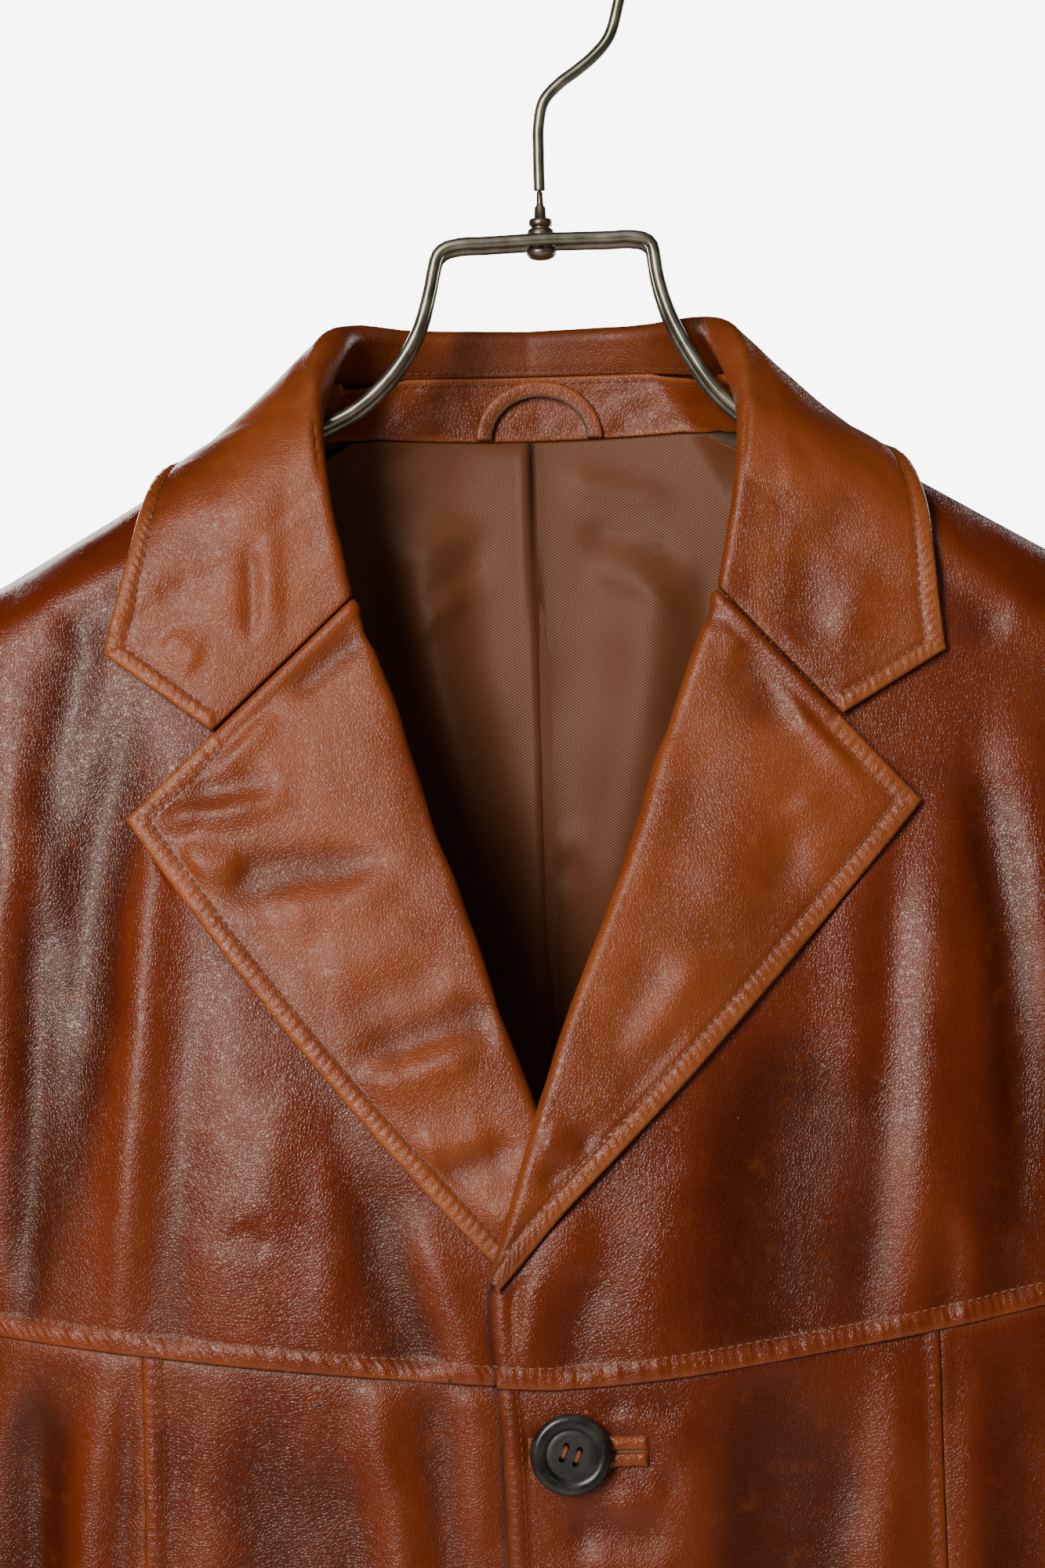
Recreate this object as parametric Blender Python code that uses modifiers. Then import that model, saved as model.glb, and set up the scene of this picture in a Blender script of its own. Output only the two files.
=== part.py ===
"""A leather coat with a notched collar, hung on a double wire hanger.

The origin is the inner top of the hook, +Z is up and the coat's front faces -Y.
The formulas below work in millimetres, and each mesh is made in metres.
Left and right are the wearer's: the left side is at +X, and the left front lies on top.
"""

import math

import bmesh
import bpy
import numpy as np

METRES = 0.001
LEFT, RIGHT = 1, -1

# The whole coat, measured from its own plane of symmetry
COAT_X = -6.7  # that plane's place under the hook
HEM_Z = -947.0
LEATHER = 1.8
SEAM_COLUMN = 0.012  # share of a panel's width where its wall is still square to the seam
SEAM = 0.4  # between two pieces that are sewn together
RIDGE_SEAM = 0.6  # half the gap where front and back meet edge to edge

# Shoulder and neck
SHOULDER_POINT = (121.3, -185.2)
SHOULDER_SLOPE = 0.575
NECK_HALF = 66.0
NECK_RISE = 1.2
NECK_BACK_Z = -146.6
NECK_DROP, NECK_CURVE = 6.8, 6.0  # from the centre back out to the shoulder seam
SHOULDER_ROUND = 38.0  # height over which front and back round into the shoulder

# Girth: each level is a flattened ring
ROUNDNESS = 2.8
ARMPIT = (200.0, -480.0)
HEM_FLARE, HEM_FLARE_CURVE = 22.0, 1.3
TOP_Z = -150.0
CHEST_RUN = 300.0
FRONT_DEPTH = (26.0, 38.0)  # at the shoulder, and what the chest adds
BACK_DEPTH = (28.0, 34.0)
NECK_DEPTH = 12.0  # what the back gains behind the neck
NECK_DEPTH_HALF, NECK_DEPTH_RUN = 75.0, 150.0

NECK_COLUMNS = (0.0, 0.34, 0.64, 0.82, 0.93, 1.0)  # of the back, as shares of the neck's half width

# Armhole, as shares of its height
ARMHOLE_TIP_Z = -243.1
ARMHOLE_SHARES = (0.0, 0.2, 0.5, 0.8, 1.0)
ARMHOLE_X = (222.0, 202.0, 189.0, 191.0, 200.0)
ARMHOLE_FRONT, ARMHOLE_BACK = 36.0, 40.0
ARMHOLE_TIP_SET = 2.5  # under the tip, where the width that holds above it is read
ARMHOLE_DEEPEST = 0.98  # share of the body's depth that an armhole may take
YOKE_ANGLE = {LEFT: 129.01, RIGHT: 133.66}  # where the yoke seam reaches the armhole, by side
FRONT_ANGLES = (0, 5, 14, 24, 35, 46, 58, 70, 82, 94, 105, 114, 122)
UNDERARM_ANGLES = (148, 164, 175, 180)
BACK_ANGLES = (0, 5, 15, 29, 43, 57, 72, 88, 104, 120, 136, 151, 165, 174, 180)

# Seams of the front
YOKE_MID_Z, YOKE_HALF = -463.0, 155.0
YOKE_RISE = {LEFT: 20.0, RIGHT: 15.0}
YOKE_CURVE = {LEFT: 1.4, RIGHT: 1.25}
SIDE_SEAM_X = {LEFT: 117.2, RIGHT: -125.7}
YOKE_ROWS_Z = (-153.4, -154.0, -162.0, -175.0, -190.0, -206.0, -226.0, -262.0, -304.0, -346.0, -387.0,
               -421.0)
YOKE_LAST_ROWS_Z = {LEFT: (-434.0, -462.0), RIGHT: (-452.0, -462.0)}
YOKE_COLUMNS, PANEL_ROWS, PANEL_COLUMNS, SIDE_COLUMNS = 9, 12, 8, 5
BACK_COLUMNS, BACK_LAST_COLUMN, BACK_LOW_ROWS = 7, 0.985, 10
GIRTH_EASE = 1.6  # how soon below the armpit the back's columns spread evenly round the girth

# Front edges, neck edge and roll lines, read downwards
NECK_EDGE = ((-153.4, 66.0), (-162.0, 68.4), (-175.0, 69.2), (-189.0, 67.6), (-205.0, 64.4),
             (-217.0, 61.9))
NECK_EDGE_END, NECK_EDGE_RUN = -215.0, 8.0  # where the roll line takes over
ROLL_LINE = {
    LEFT: ((-221.0, 57.5), (-240.0, 50.2), (-269.0, 39.4), (-300.0, 28.7), (-326.0, 18.3), (-350.0, 8.0),
           (-371.0, 0.3), (-385.0, -4.1), (-413.0, -12.8), (-424.4, -16.6)),
    RIGHT: ((-221.0, -57.5), (-242.0, -49.8), (-267.0, -40.5), (-298.0, -31.5), (-325.0, -22.5),
            (-354.0, -13.7), (-381.0, -4.1), (-416.0, 8.0), (-452.0, 20.0)),
}
FRONT_EDGE = {
    LEFT: ((-424.4, -17.0), (-436.0, -17.9), (-470.0, -17.1), (-517.0, -15.6), (-600.0, -14.6),
           (-947.0, -14.0)),
    RIGHT: ((-424.4, 21.0), (-947.0, 21.0)),
}
ROLL = 1.9  # half the height of the fold at the roll line
ROLL_RUN = 9.0  # under the roll line, where the edge turns straight
ROLL_SET = 3.7  # from the roll line's outermost line back to the front's own edge

# The left front lies on top
OVERLAP_LIFT = (6.2, 4.2)  # at the break, and from below the first button
OVERLAP_FULL_X, OVERLAP_END_X = 30.0, 95.0
OVERLAP_TOP_Z, OVERLAP_TOP_RUN = -250.0, 110.0
OVERLAP_EASE_Z, OVERLAP_EASE_RUN = -470.0, 60.0

# Collar and lapels
NOTCH = {LEFT: (93.5, -260.4), RIGHT: (-100.5, -260.9)}
LAPEL_POINT = {LEFT: (118.1, -288.0), RIGHT: (-128.6, -287.6)}
LAPEL_END = {LEFT: (-14.6, -427.0), RIGHT: (13.0, -456.5)}
LAPEL_BULGE = {LEFT: 2.5, RIGHT: 5.5}
COLLAR_POINT = {LEFT: (127.3, -241.6), RIGHT: (-134.5, -236.5)}
FACING_WALL = 2.2
GORGE_GAP = 0.3  # what collar and lapel each stay back from the gorge line
LAPEL_BASE_SEAM = 0.8  # from the front's edge to the lapel's base
LAPEL_ROWS, LAPEL_TOP_TURN = 12, 0.25  # the share of the rows that turn from the notch's direction
LAPEL_FALL = (0.0, 0.2, 0.4, 0.6, 0.8, 1.0)
LAPEL_LEVEL = (2.9, 2.1)  # of the wall's middle over the front, at the roll and at the edge

# Half of the collar, from the gorge to the centre back: base, roll, outer edge, and the directions
# in which the stand rises and the roll turns
COLLAR_BASE = ((59.4, -30.6, -223.1), (62.0, -28.4, -207.1), (65.0, -26.5, -189.1), (66.5, -18.1, -168.3),
               (64.8, 0.0, -150.8), (58.7, 21.0, -149.4), (33.4, 36.6, -145.9), (0.0, 38.6, -145.7))
COLLAR_ROLL = ((57.5, -32.1, -221.0), (61.0, -31.0, -205.0), (64.6, -28.2, -184.0), (66.6, -16.5, -158.6),
               (63.5, 1.0, -134.8), (57.5, 17.5, -132.9), (35.0, 34.5, -133.1), (0.0, 40.0, -133.3))
COLLAR_EDGE = ((127.3, -31.0, -241.6), (126.2, -31.0, -229.0), (124.8, -28.0, -213.0), (123.0, -20.0, -197.0),
               (116.2, 2.0, -180.6), (107.0, 28.0, -191.0), (66.0, 44.0, -198.0), (0.0, 46.0, -193.0))
COLLAR_RISE = ((-0.674, 0.0, 0.738), (-0.88, 0.0, 0.47), (-0.78, 0.1, 0.62), (-0.45, 0.1, 0.89),
               (-0.2, 0.05, 0.98), (-0.1, 0.0, 1.0), (0.0, 0.0, 1.0), (0.0, 0.0, 1.0))
COLLAR_TURN = ((0.0, -1.0, 0.0), (0.0, -1.0, 0.0), (0.15, -1.0, 0.1), (0.5, -0.8, 0.3),
               (1.0, -0.1, 0.2), (0.75, 0.65, 0.0), (0.3, 0.95, 0.0), (0.0, 1.0, 0.0))
COLLAR_ROUND = (1.9, 1.9, 2.1, 3.2, 4.6, 4.0, 3.0, 2.7)
COLLAR_SIDE, COLLAR_CENTRE = 4.0, 7.0  # numbers of those places over the shoulder and at the centre back
COLLAR_SIDE_ROWS, COLLAR_BACK_ROWS = 9, 8
COLLAR_FALL = (0.0, 0.2, 0.4, 0.58, 0.8, 1.0)
NOTCH_FALL = 3  # which of these is the notch
POINT_REACH, KINK_REACH = 3.5, 1.8  # how far the point and the notch pull the places beside them
NECKLINE_FROM = 4.2  # from here on the stand keeps clear of the neckline
GORGE_AWAY = (0.68, 0.73)  # across the gorge line, outwards and up
STAND_LIFT = 0.8  # of the stand's foot over the back's neckline
COLLAR_SAG = (0.0, 0.2, 0.4, 1.0, 1.6, 1.2, 0.6, 0.0)  # of the fall, under a straight line
COLLAR_LIFT = (2.1, 2.4, 3.2, 4.2, 4.4, 4.0, 3.4, 3.2)

# Inside the back neck
FACING_LOW_Z, FACING_LOW_RISE, FACING_HALF = -167.2, 2.4, 64.0
FACING_EASE = 3.2  # inwards at its two ends
FACING_THICK, LINING_THICK = 1.4, 1.0
LINING_BACK_OFF, LINING_FREE = 4.0, 6.0  # from the back's outer face to the lining, and more at the hem
LINING_REACH = 0.84  # share of the half girth that the lining spans
LINING_SHOULDER_DROP = 15.0
LINING_UNDER_FACING = -0.4
LINING_HEM = 22.0
LOOP_X, LOOP_TOP_Z, LOOP_FOOT_Z = 3.2, -150.0, -166.5
LOOP_HALF, LOOP_WIDTH, LOOP_THICK, LOOP_GAP = 18.6, 5.4, 2.4, 0.4
FACING_ROWS, INSIDE_COLUMNS, LINING_ROWS, LINING_SPREAD, LOOP_COLUMNS = 4, 17, 14, 1.3, 13

# Sleeves
SLEEVE_TIP = (222.0, -243.1)
SLEEVE_HANDLE_TOP, SLEEVE_HANDLE_LOW = (257.0, -262.0), (307.0, -370.0)
BICEP = (208.0, 308.0, -500.0)
SLEEVE_BODY_GAP = 8.0
CUFF_Z = -853.0
SLEEVE_WIDTH = (100.0, 84.0)
SLEEVE_DEPTH = (57.0, 47.0)
SLEEVE_FORWARD, SLEEVE_FORWARD_CURVE = 26.0, 1.6
CAP_EASE, CAP_DEPTH_EASE = 1.2, 1.25  # how soon a ring leaves the armhole's own outline and depth
ARMHOLE_SEAM = 0.6
CAP_RINGS, SLEEVE_RINGS = 6, 9

# Soft folds, as x at the hem, half width and height over the plain form
FRONT_FOLDS = ((-152.0, 22.0, 6.0), (-106.0, 22.0, -7.0), (-60.0, 24.0, 6.0),
               (62.0, 24.0, 6.0), (108.0, 22.0, -7.0), (154.0, 22.0, 6.0))
BACK_FOLDS = ((-142.0, 26.0, 7.0), (-94.0, 24.0, -7.0), (-46.0, 24.0, 6.0), (2.0, 24.0, -6.0),
              (50.0, 24.0, 7.0), (98.0, 24.0, -7.0), (146.0, 26.0, 6.0))
FOLD_TOP_X = 0.82  # a fold's x at its top, as a share of its x at the hem
FOLD_GROWTH = 1.15  # a fold is full this much before the hem
SLEEVE_FOLDS = ((-612.0, 16.0, -5.0), (-655.0, 16.0, -6.5), (-700.0, 18.0, -4.5))
SLEEVE_FOLD_TURN = 2.2  # radians round the sleeve from its outer side, where the folds are deepest

# Buttons
BUTTON_X = 3.9
BUTTON_Z = {"button_top": -482.0, "button_middle": -598.0, "button_bottom": -714.0}
BUTTON_GAP, BUTTON_TURN = 0.4, 20.0
BUTTON_HOLE_RADIUS, BUTTON_HOLE_SPREAD, BUTTON_HOLE_CUT = 1.05, 2.1, 20.0
BUTTON_STEPS, SWIVEL_STEPS = 22, 16
BUTTON_PROFILE = ((0.0, 2.9), (6.9, 2.9), (7.9, 3.5), (9.4, 4.2), (11.2, 4.1), (12.4, 2.8), (12.0, 1.2),
                  (9.6, 0.0), (0.0, 0.0))

# Hanger
HOOK_RADIUS, HOOK_WIRE = 26.0, 1.9
HOOK_START_ANGLE, HOOK_END_ANGLE = -17.0, 196.0
HOOK_STEPS, HOOK_POINTS = 26, 40
HOOK_SHAFT = ((-1.7, -90.0), (-1.7, -78.0), (-1.4, -69.0), (0.4, -61.6), (5.5, -56.0), (11.1, -52.0),
              (16.7, -47.5), (21.1, -42.6))
FRAME_WIRE = 2.0
FRAME_BAR_HALF_DEPTH, FRAME_NECK_HALF_DEPTH = 6.9, 8.4
WIRE_SET = 1.9  # of the wire under the shoulder's own curve
NECK_WIRE = {
    LEFT: ((0.0, -106.6), (28.5, -106.6), (31.8, -107.4), (33.7, -109.4), (34.3, -112.5), (35.0, -118.0),
           (37.8, -128.8), (44.9, -143.9), (53.8, -157.0), (61.8, -164.2)),
    RIGHT: ((0.0, -106.6), (-29.0, -107.8), (-32.8, -108.9), (-34.9, -111.0), (-36.0, -114.5),
            (-37.6, -121.8), (-42.5, -136.7), (-52.9, -151.4), (-63.1, -159.9), (-71.0, -163.9)),
}
WIRE_ON_SHOULDER = (82.0, 104.0, 126.0, 146.0, 167.0, 188.0)
WIRE_END_X, WIRE_END_DROP = 199.0, 1.5
WIRE_END_TURN = (30.0, 62.0, 90.0)  # degrees from the front wire round the end to its middle
WIRE_HALF_DEPTH = ((82.0, 10.0), (115.0, 12.0), (165.0, 11.0), (188.0, 8.5))
NECK_WIRE_TOP, NECK_WIRE_LOW = 112.0, 160.0  # between these depths the two wires spread
SWIVEL_X = -1.7
SWIVEL_PROFILE = ((0.0, -90.3), (1.0, -90.5), (1.1, -94.0), (1.8, -95.6), (1.9, -99.0), (3.6, -99.4),
                  (3.9, -100.5), (3.5, -101.6), (2.9, -102.0), (4.4, -103.6), (4.5, -109.0), (5.0, -109.6),
                  (4.6, -111.0), (2.4, -112.2), (0.0, -112.5))

COLOURS = {
    "leather": ((0.235, 0.062, 0.021), 0.42, 0.0),
    "collar_leather": ((0.3, 0.088, 0.03), 0.4, 0.0),
    "lining": ((0.135, 0.062, 0.034), 0.7, 0.0),
    "button": ((0.018, 0.018, 0.02), 0.35, 0.0),
    "hanger_metal": ((0.32, 0.3, 0.26), 0.34, 1.0),
}


def smoothstep(t):
    t = np.clip(t, 0.0, 1.0)
    return t * t * (3.0 - 2.0 * t)


def bell(distance, half):
    return np.exp(-((distance / half) ** 2))


def through(knots, values, at):
    """A smooth curve through the values, read at any place between the knots."""
    knots, values = np.asarray(knots, float), np.asarray(values, float)
    at = np.clip(at, knots[0], knots[-1])
    slopes = np.gradient(values, knots, axis=0)
    i = np.clip(np.searchsorted(knots, at, side="right") - 1, 0, len(knots) - 2)
    step = knots[i + 1] - knots[i]
    t = (at - knots[i]) / step
    if values.ndim > 1:
        t, step = t[..., None], step[..., None]
    start = (2 * t**3 - 3 * t**2 + 1) * values[i] + (t**3 - 2 * t**2 + t) * step * slopes[i]
    end = (3 * t**2 - 2 * t**3) * values[i + 1] + (t**3 - t**2) * step * slopes[i + 1]
    return start + end


def down_line(points, z):
    """x of a line that is given by (z, x) points read downwards."""
    heights, places = np.array(points).T
    return through(-heights, places, -np.asarray(z, float))


def shoulder_line(x):
    return SHOULDER_POINT[1] - SHOULDER_SLOPE * (np.abs(x) - SHOULDER_POINT[0])


def ridge(x):
    """Height at which front and back would meet; it rises over the open neck."""
    return shoulder_line(x) + NECK_RISE * np.maximum(NECK_HALF - np.abs(x), 0.0)


def shoulder_rounding(below):
    t = 1.0 - np.clip(below / SHOULDER_ROUND, 0.0, 1.0)
    return np.sqrt(1.0 - t * t)


def chest(z):
    return smoothstep((TOP_Z - z) / CHEST_RUN)


def depth(x, z, back):
    if not back:
        return FRONT_DEPTH[0] + FRONT_DEPTH[1] * chest(z)
    fading = 1.0 - smoothstep((TOP_Z - z) / NECK_DEPTH_RUN)
    behind_neck = NECK_DEPTH * bell(x, NECK_DEPTH_HALF) * fading
    return BACK_DEPTH[0] + BACK_DEPTH[1] * chest(z) + behind_neck


def armhole_x(z):
    return through(ARMHOLE_SHARES, ARMHOLE_X, (ARMHOLE_TIP_Z - z) / (ARMHOLE_TIP_Z - ARMPIT[1]))


def armhole_depth(z, back):
    share = np.clip((ARMHOLE_TIP_Z - z) / (ARMHOLE_TIP_Z - ARMPIT[1]), 0.0, 1.0)
    return (ARMHOLE_BACK if back else ARMHOLE_FRONT) * np.sqrt(1.0 - (2.0 * share - 1.0) ** 2)


def armhole_z(degrees):
    share = (1.0 - np.cos(np.radians(degrees))) / 2.0
    return ARMHOLE_TIP_Z + share * (ARMPIT[1] - ARMHOLE_TIP_Z)


def half_width(z, back):
    """Below the armpit a plain flare; above it, what puts the armhole on the surface."""
    z = np.asarray(z, float)
    share = np.clip((ARMPIT[1] - z) / (ARMPIT[1] - HEM_Z), 0.0, 1.0)
    low = ARMPIT[0] + HEM_FLARE * share**HEM_FLARE_CURVE
    held = np.clip(z, ARMPIT[1], ARMHOLE_TIP_Z - ARMHOLE_TIP_SET)
    x = armhole_x(held)
    full = depth(x, held, back) * shoulder_rounding(ridge(x) - held)
    ratio = np.clip(armhole_depth(held, back) / full, 0.0, ARMHOLE_DEEPEST)
    return np.where(z > ARMPIT[1], x / (1.0 - ratio**ROUNDNESS) ** (1.0 / ROUNDNESS), low)


def folds(x, z, back):
    down = np.clip((ARMPIT[1] - z) / (ARMPIT[1] - HEM_Z), 0.0, 1.0)
    relief = 0.0 * x
    for hem_x, half, height in BACK_FOLDS if back else FRONT_FOLDS:
        line = hem_x * (FOLD_TOP_X + (1.0 - FOLD_TOP_X) * down)
        relief = relief + height * smoothstep(down * FOLD_GROWTH) * bell(x - line, half)
    return relief


def half_depth(x, z, back):
    """Distance of the body's outer face from the plane of the side seams."""
    z = np.broadcast_to(z, np.shape(x)).astype(float)
    share = np.clip(np.abs(x) / half_width(z, back), 0.0, 1.0)
    around = (1.0 - share**ROUNDNESS) ** (1.0 / ROUNDNESS)
    return (depth(x, z, back) * shoulder_rounding(ridge(x) - z) + folds(x, z, back)) * around


def overlap_lift(x, z):
    eased = smoothstep((OVERLAP_EASE_Z - z) / OVERLAP_EASE_RUN)
    amount = OVERLAP_LIFT[0] + (OVERLAP_LIFT[1] - OVERLAP_LIFT[0]) * eased
    inwards = smoothstep((OVERLAP_END_X - x) / (OVERLAP_END_X - OVERLAP_FULL_X))
    return amount * inwards * smoothstep((OVERLAP_TOP_Z - z) / OVERLAP_TOP_RUN)


def front_y(x, z, side):
    """y of the outer face of a front."""
    lift = overlap_lift(x, z) if side == LEFT else 0.0
    return -half_depth(x, z, False) - lift


def girth_table():
    """Shares of the half girth, and the shares of the half width where they fall."""
    angles = np.linspace(0.0, math.pi / 2.0, 400)
    across, deep = np.sin(angles) ** (2.0 / ROUNDNESS), np.cos(angles) ** (2.0 / ROUNDNESS)
    steps = np.hypot(np.diff(across) * ARMPIT[0], np.diff(deep) * sum(FRONT_DEPTH))
    length = np.concatenate(([0.0], np.cumsum(steps)))
    return length / length[-1], across


GIRTH, ACROSS = girth_table()


def width_share(girth_share):
    return np.interp(girth_share, GIRTH, ACROSS)


def girth_share(width_share_there):
    return np.interp(width_share_there, ACROSS, GIRTH)


def front_edge_x(z, side):
    """x of the front's own edge: the neck, then the roll line, then the straight edge to the hem."""
    z = np.asarray(z, float)
    neck = side * down_line(NECK_EDGE, z)
    roll_end = ROLL_LINE[side][-1][0]
    roll = down_line(ROLL_LINE[side], z) + side * ROLL_SET
    straight = down_line(FRONT_EDGE[side], z)
    to_straight = smoothstep((roll_end - 1.0 - z) / ROLL_RUN)
    below_neck = smoothstep((NECK_EDGE_END - z) / NECK_EDGE_RUN)
    low = roll + (straight - roll) * to_straight
    return neck + (low - neck) * below_neck


def yoke_seam_z(x, side):
    return YOKE_MID_Z + YOKE_RISE[side] * (np.abs(x) / YOKE_HALF) ** YOKE_CURVE[side]


def side_seam_x(z, side):
    """x of the vertical seam between front panel and side panel."""
    grown = half_width(z, False) / half_width(ARMPIT[1], False)
    return SIDE_SEAM_X[side] * np.where(z < ARMPIT[1], grown, 1.0)


def material(name):
    colour, roughness, metallic = COLOURS[name]
    made = bpy.data.materials.get(name) or bpy.data.materials.new(name)
    made.use_nodes = True
    shader = made.node_tree.nodes["Principled BSDF"]
    shader.inputs["Base Color"].default_value = (*colour, 1.0)
    shader.inputs["Roughness"].default_value = roughness
    shader.inputs["Metallic"].default_value = metallic
    return made


def add_object(name, data, material_name, collection):
    made = bpy.data.objects.new(name, data)
    data.materials.append(material(material_name))
    collection.objects.link(made)
    return made


def sheet(name, points, thickness, side_of_surface, material_name, collection, closed=False):
    """A wall on a grid of points in millimetres, rows x columns x 3.

    A closed one joins its last column to its first.
    side_of_surface is -1 where the wall lies behind the points, 0 where they are its middle.
    """
    points = np.array(points, float)
    rows, columns = points.shape[:2]
    mesh_data = bmesh.new()
    bmesh.ops.create_grid(mesh_data, x_segments=columns - 1, y_segments=rows - 1, size=1.0)
    mesh_data.verts.ensure_lookup_table()
    for vert, place in zip(mesh_data.verts, points.reshape(-1, 3)):
        vert.co = ((place[0] + COAT_X) * METRES, place[1] * METRES, place[2] * METRES)
    if closed:
        bmesh.ops.remove_doubles(mesh_data, verts=mesh_data.verts, dist=1e-7)
    for face in mesh_data.faces:
        face.smooth = True
    data = bpy.data.meshes.new(name)
    mesh_data.to_mesh(data)
    mesh_data.free()
    made = add_object(name, data, material_name, collection)
    wall = made.modifiers.new("wall", "SOLIDIFY")
    wall.thickness = thickness * METRES
    wall.offset = side_of_surface
    return made


def facing_front(points, side):
    """Columns run outwards from the centre: on the right side they are turned round to face the front."""
    return points if side == LEFT else points[:, ::-1]


def add_front_yoke(name, side, collection):
    inner_z = np.array(YOKE_ROWS_Z + YOKE_LAST_ROWS_Z[side])
    outer_z = armhole_z(np.array(FRONT_ANGLES + (YOKE_ANGLE[side],)))
    inner_x = front_edge_x(inner_z, side)
    outer_x = side * armhole_x(outer_z)
    top_in, top_out = shoulder_line(inner_x), shoulder_line(outer_x)
    down_in = (top_in - inner_z) / (top_in - yoke_seam_z(inner_x, side))
    down_out = (top_out - outer_z) / (top_out - outer_z[-1])
    across = np.linspace(0.0, 1.0, YOKE_COLUMNS)
    x = inner_x[:, None] + (outer_x - inner_x)[:, None] * across
    down = down_in[:, None] + (down_out - down_in)[:, None] * across
    z = shoulder_line(x) - down * (shoulder_line(x) - yoke_seam_z(x, side))
    y = np.minimum(front_y(x, z, side), -RIDGE_SEAM)
    z[-1] += SEAM / 2
    points = np.stack([x, y, z], axis=-1)[::-1]
    sheet(name, facing_front(points, side), LEATHER, -1, "leather", collection)


def add_front_panel(name, side, collection):
    down = np.linspace(0.0, 1.0, PANEL_ROWS)[:, None]
    across = np.concatenate([np.linspace(0.0, 1.0, PANEL_COLUMNS)[:-1], [1.0 - SEAM_COLUMN, 1.0]])[None, :]
    top_edge, top_seam = float(front_edge_x(YOKE_MID_Z, side)), SIDE_SEAM_X[side]
    top_z = yoke_seam_z(top_edge + (top_seam - top_edge) * across, side) - SEAM / 2
    z = top_z + (HEM_Z - top_z) * down
    edge = front_edge_x(z, side)
    outer = side_seam_x(z, side) - side * SEAM / 2
    x = edge + (outer - edge) * across
    points = np.stack([x, front_y(x, z, side), z], axis=-1)[::-1]
    sheet(name, facing_front(points, side), LEATHER, -1, "leather", collection)


def add_side_panel(name, side, collection):
    seam_x = abs(SIDE_SEAM_X[side])
    underarm_z = armhole_z(np.array((YOKE_ANGLE[side],) + UNDERARM_ANGLES))
    yoke_x = np.linspace(seam_x, armhole_x(underarm_z[0]), SIDE_COLUMNS)
    yoke_x = np.insert(yoke_x, 1, seam_x + 2.0 * SEAM_COLUMN * (yoke_x[-1] - seam_x))
    top_x = np.concatenate([yoke_x, armhole_x(underarm_z[1:])])
    top_z = np.concatenate([yoke_seam_z(yoke_x, side), underarm_z[1:]]) - SEAM / 2
    top_y = half_depth(top_x, top_z, False)
    steps = np.sqrt(np.diff(top_x) ** 2 + np.diff(top_y) ** 2 + np.diff(top_z) ** 2)
    across_low = np.concatenate([[0.0], np.cumsum(steps)]) / steps.sum()
    seam_share = girth_share(np.abs(side_seam_x(top_z, side)) / half_width(top_z, False))
    across_top = (girth_share(top_x / half_width(top_z, False)) - seam_share) / (1.0 - seam_share)
    down = np.linspace(0.0, 1.0, PANEL_ROWS)[:, None]
    z = top_z + (HEM_Z - top_z) * down
    across = across_top + (across_low - across_top) * down
    width = half_width(z, False)
    seam_share = girth_share((np.abs(side_seam_x(z, side)) + SEAM / 2) / width)
    x = side * width * width_share(seam_share + (1.0 - seam_share) * across)
    y = np.minimum(front_y(x, z, RIGHT), -RIDGE_SEAM)
    points = np.stack([x, y, z], axis=-1)[::-1]
    sheet(name, facing_front(points, side), LEATHER, -1, "leather", collection)


def back_top_z(x):
    neck = NECK_BACK_Z - NECK_DROP * (np.abs(x) / NECK_HALF) ** NECK_CURVE
    return np.where(np.abs(x) < NECK_HALF, neck, shoulder_line(x))


def add_back(name, collection):
    neck_share = NECK_HALF / SLEEVE_TIP[0]
    outer = np.linspace(neck_share, BACK_LAST_COLUMN, BACK_COLUMNS)[1:]
    half = np.concatenate([np.array(NECK_COLUMNS) * neck_share, outer, [1.0]])
    across = np.concatenate([-half[:0:-1], half])
    even = np.linspace(-1.0, 1.0, len(across))
    rows = []
    for angle in BACK_ANGLES:
        side_z = armhole_z(angle)
        x = across * armhole_x(side_z)
        share = (ARMHOLE_TIP_Z - side_z) / (ARMHOLE_TIP_Z - ARMPIT[1])
        rows.append((x, back_top_z(x) + share * (ARMPIT[1] - back_top_z(x))))
    for low in np.linspace(0.0, 1.0, BACK_LOW_ROWS)[1:]:
        z = ARMPIT[1] + low * (HEM_Z - ARMPIT[1]) + 0.0 * across
        start = np.sign(across) * girth_share(np.abs(across))
        share = start + (even - start) * smoothstep(low * GIRTH_EASE)
        rows.append((np.sign(across) * half_width(z, True) * width_share(np.abs(share)), z))
    x, z = (np.array(part) for part in zip(*rows))
    y = np.maximum(half_depth(x, z, True), RIDGE_SEAM)
    sheet(name, np.stack([x, y, z], axis=-1), LEATHER, -1, "leather", collection)


def clear_of_body(points, lift, side):
    """Points moved out until they lie this far over the body."""
    x, y, z = np.moveaxis(points, -1, 0)
    back = y > 0.0
    over = np.where(side == LEFT, overlap_lift(x, z), 0.0)
    girth = np.where(back, half_depth(x, np.minimum(z, ridge(x) - SHOULDER_ROUND), True),
                     half_depth(x, np.minimum(z, ridge(x) - SHOULDER_ROUND), False) + over)
    reach = girth + lift
    centre = ridge(x) - SHOULDER_ROUND
    size = np.hypot(y / reach, np.maximum(z - centre, 0.0) / (SHOULDER_ROUND + lift))
    grow = 1.0 / np.clip(size, 0.05, 1.0)
    near_ridge = z > centre
    y_out = np.where(near_ridge, y * grow, np.where(np.abs(y) < reach, np.sign(y) * reach, y))
    z_out = np.where(near_ridge, centre + (z - centre) * grow, z)
    return np.stack([x, y_out, z_out], axis=-1)


def unit(vectors):
    return vectors / np.linalg.norm(vectors, axis=-1, keepdims=True)


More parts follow.
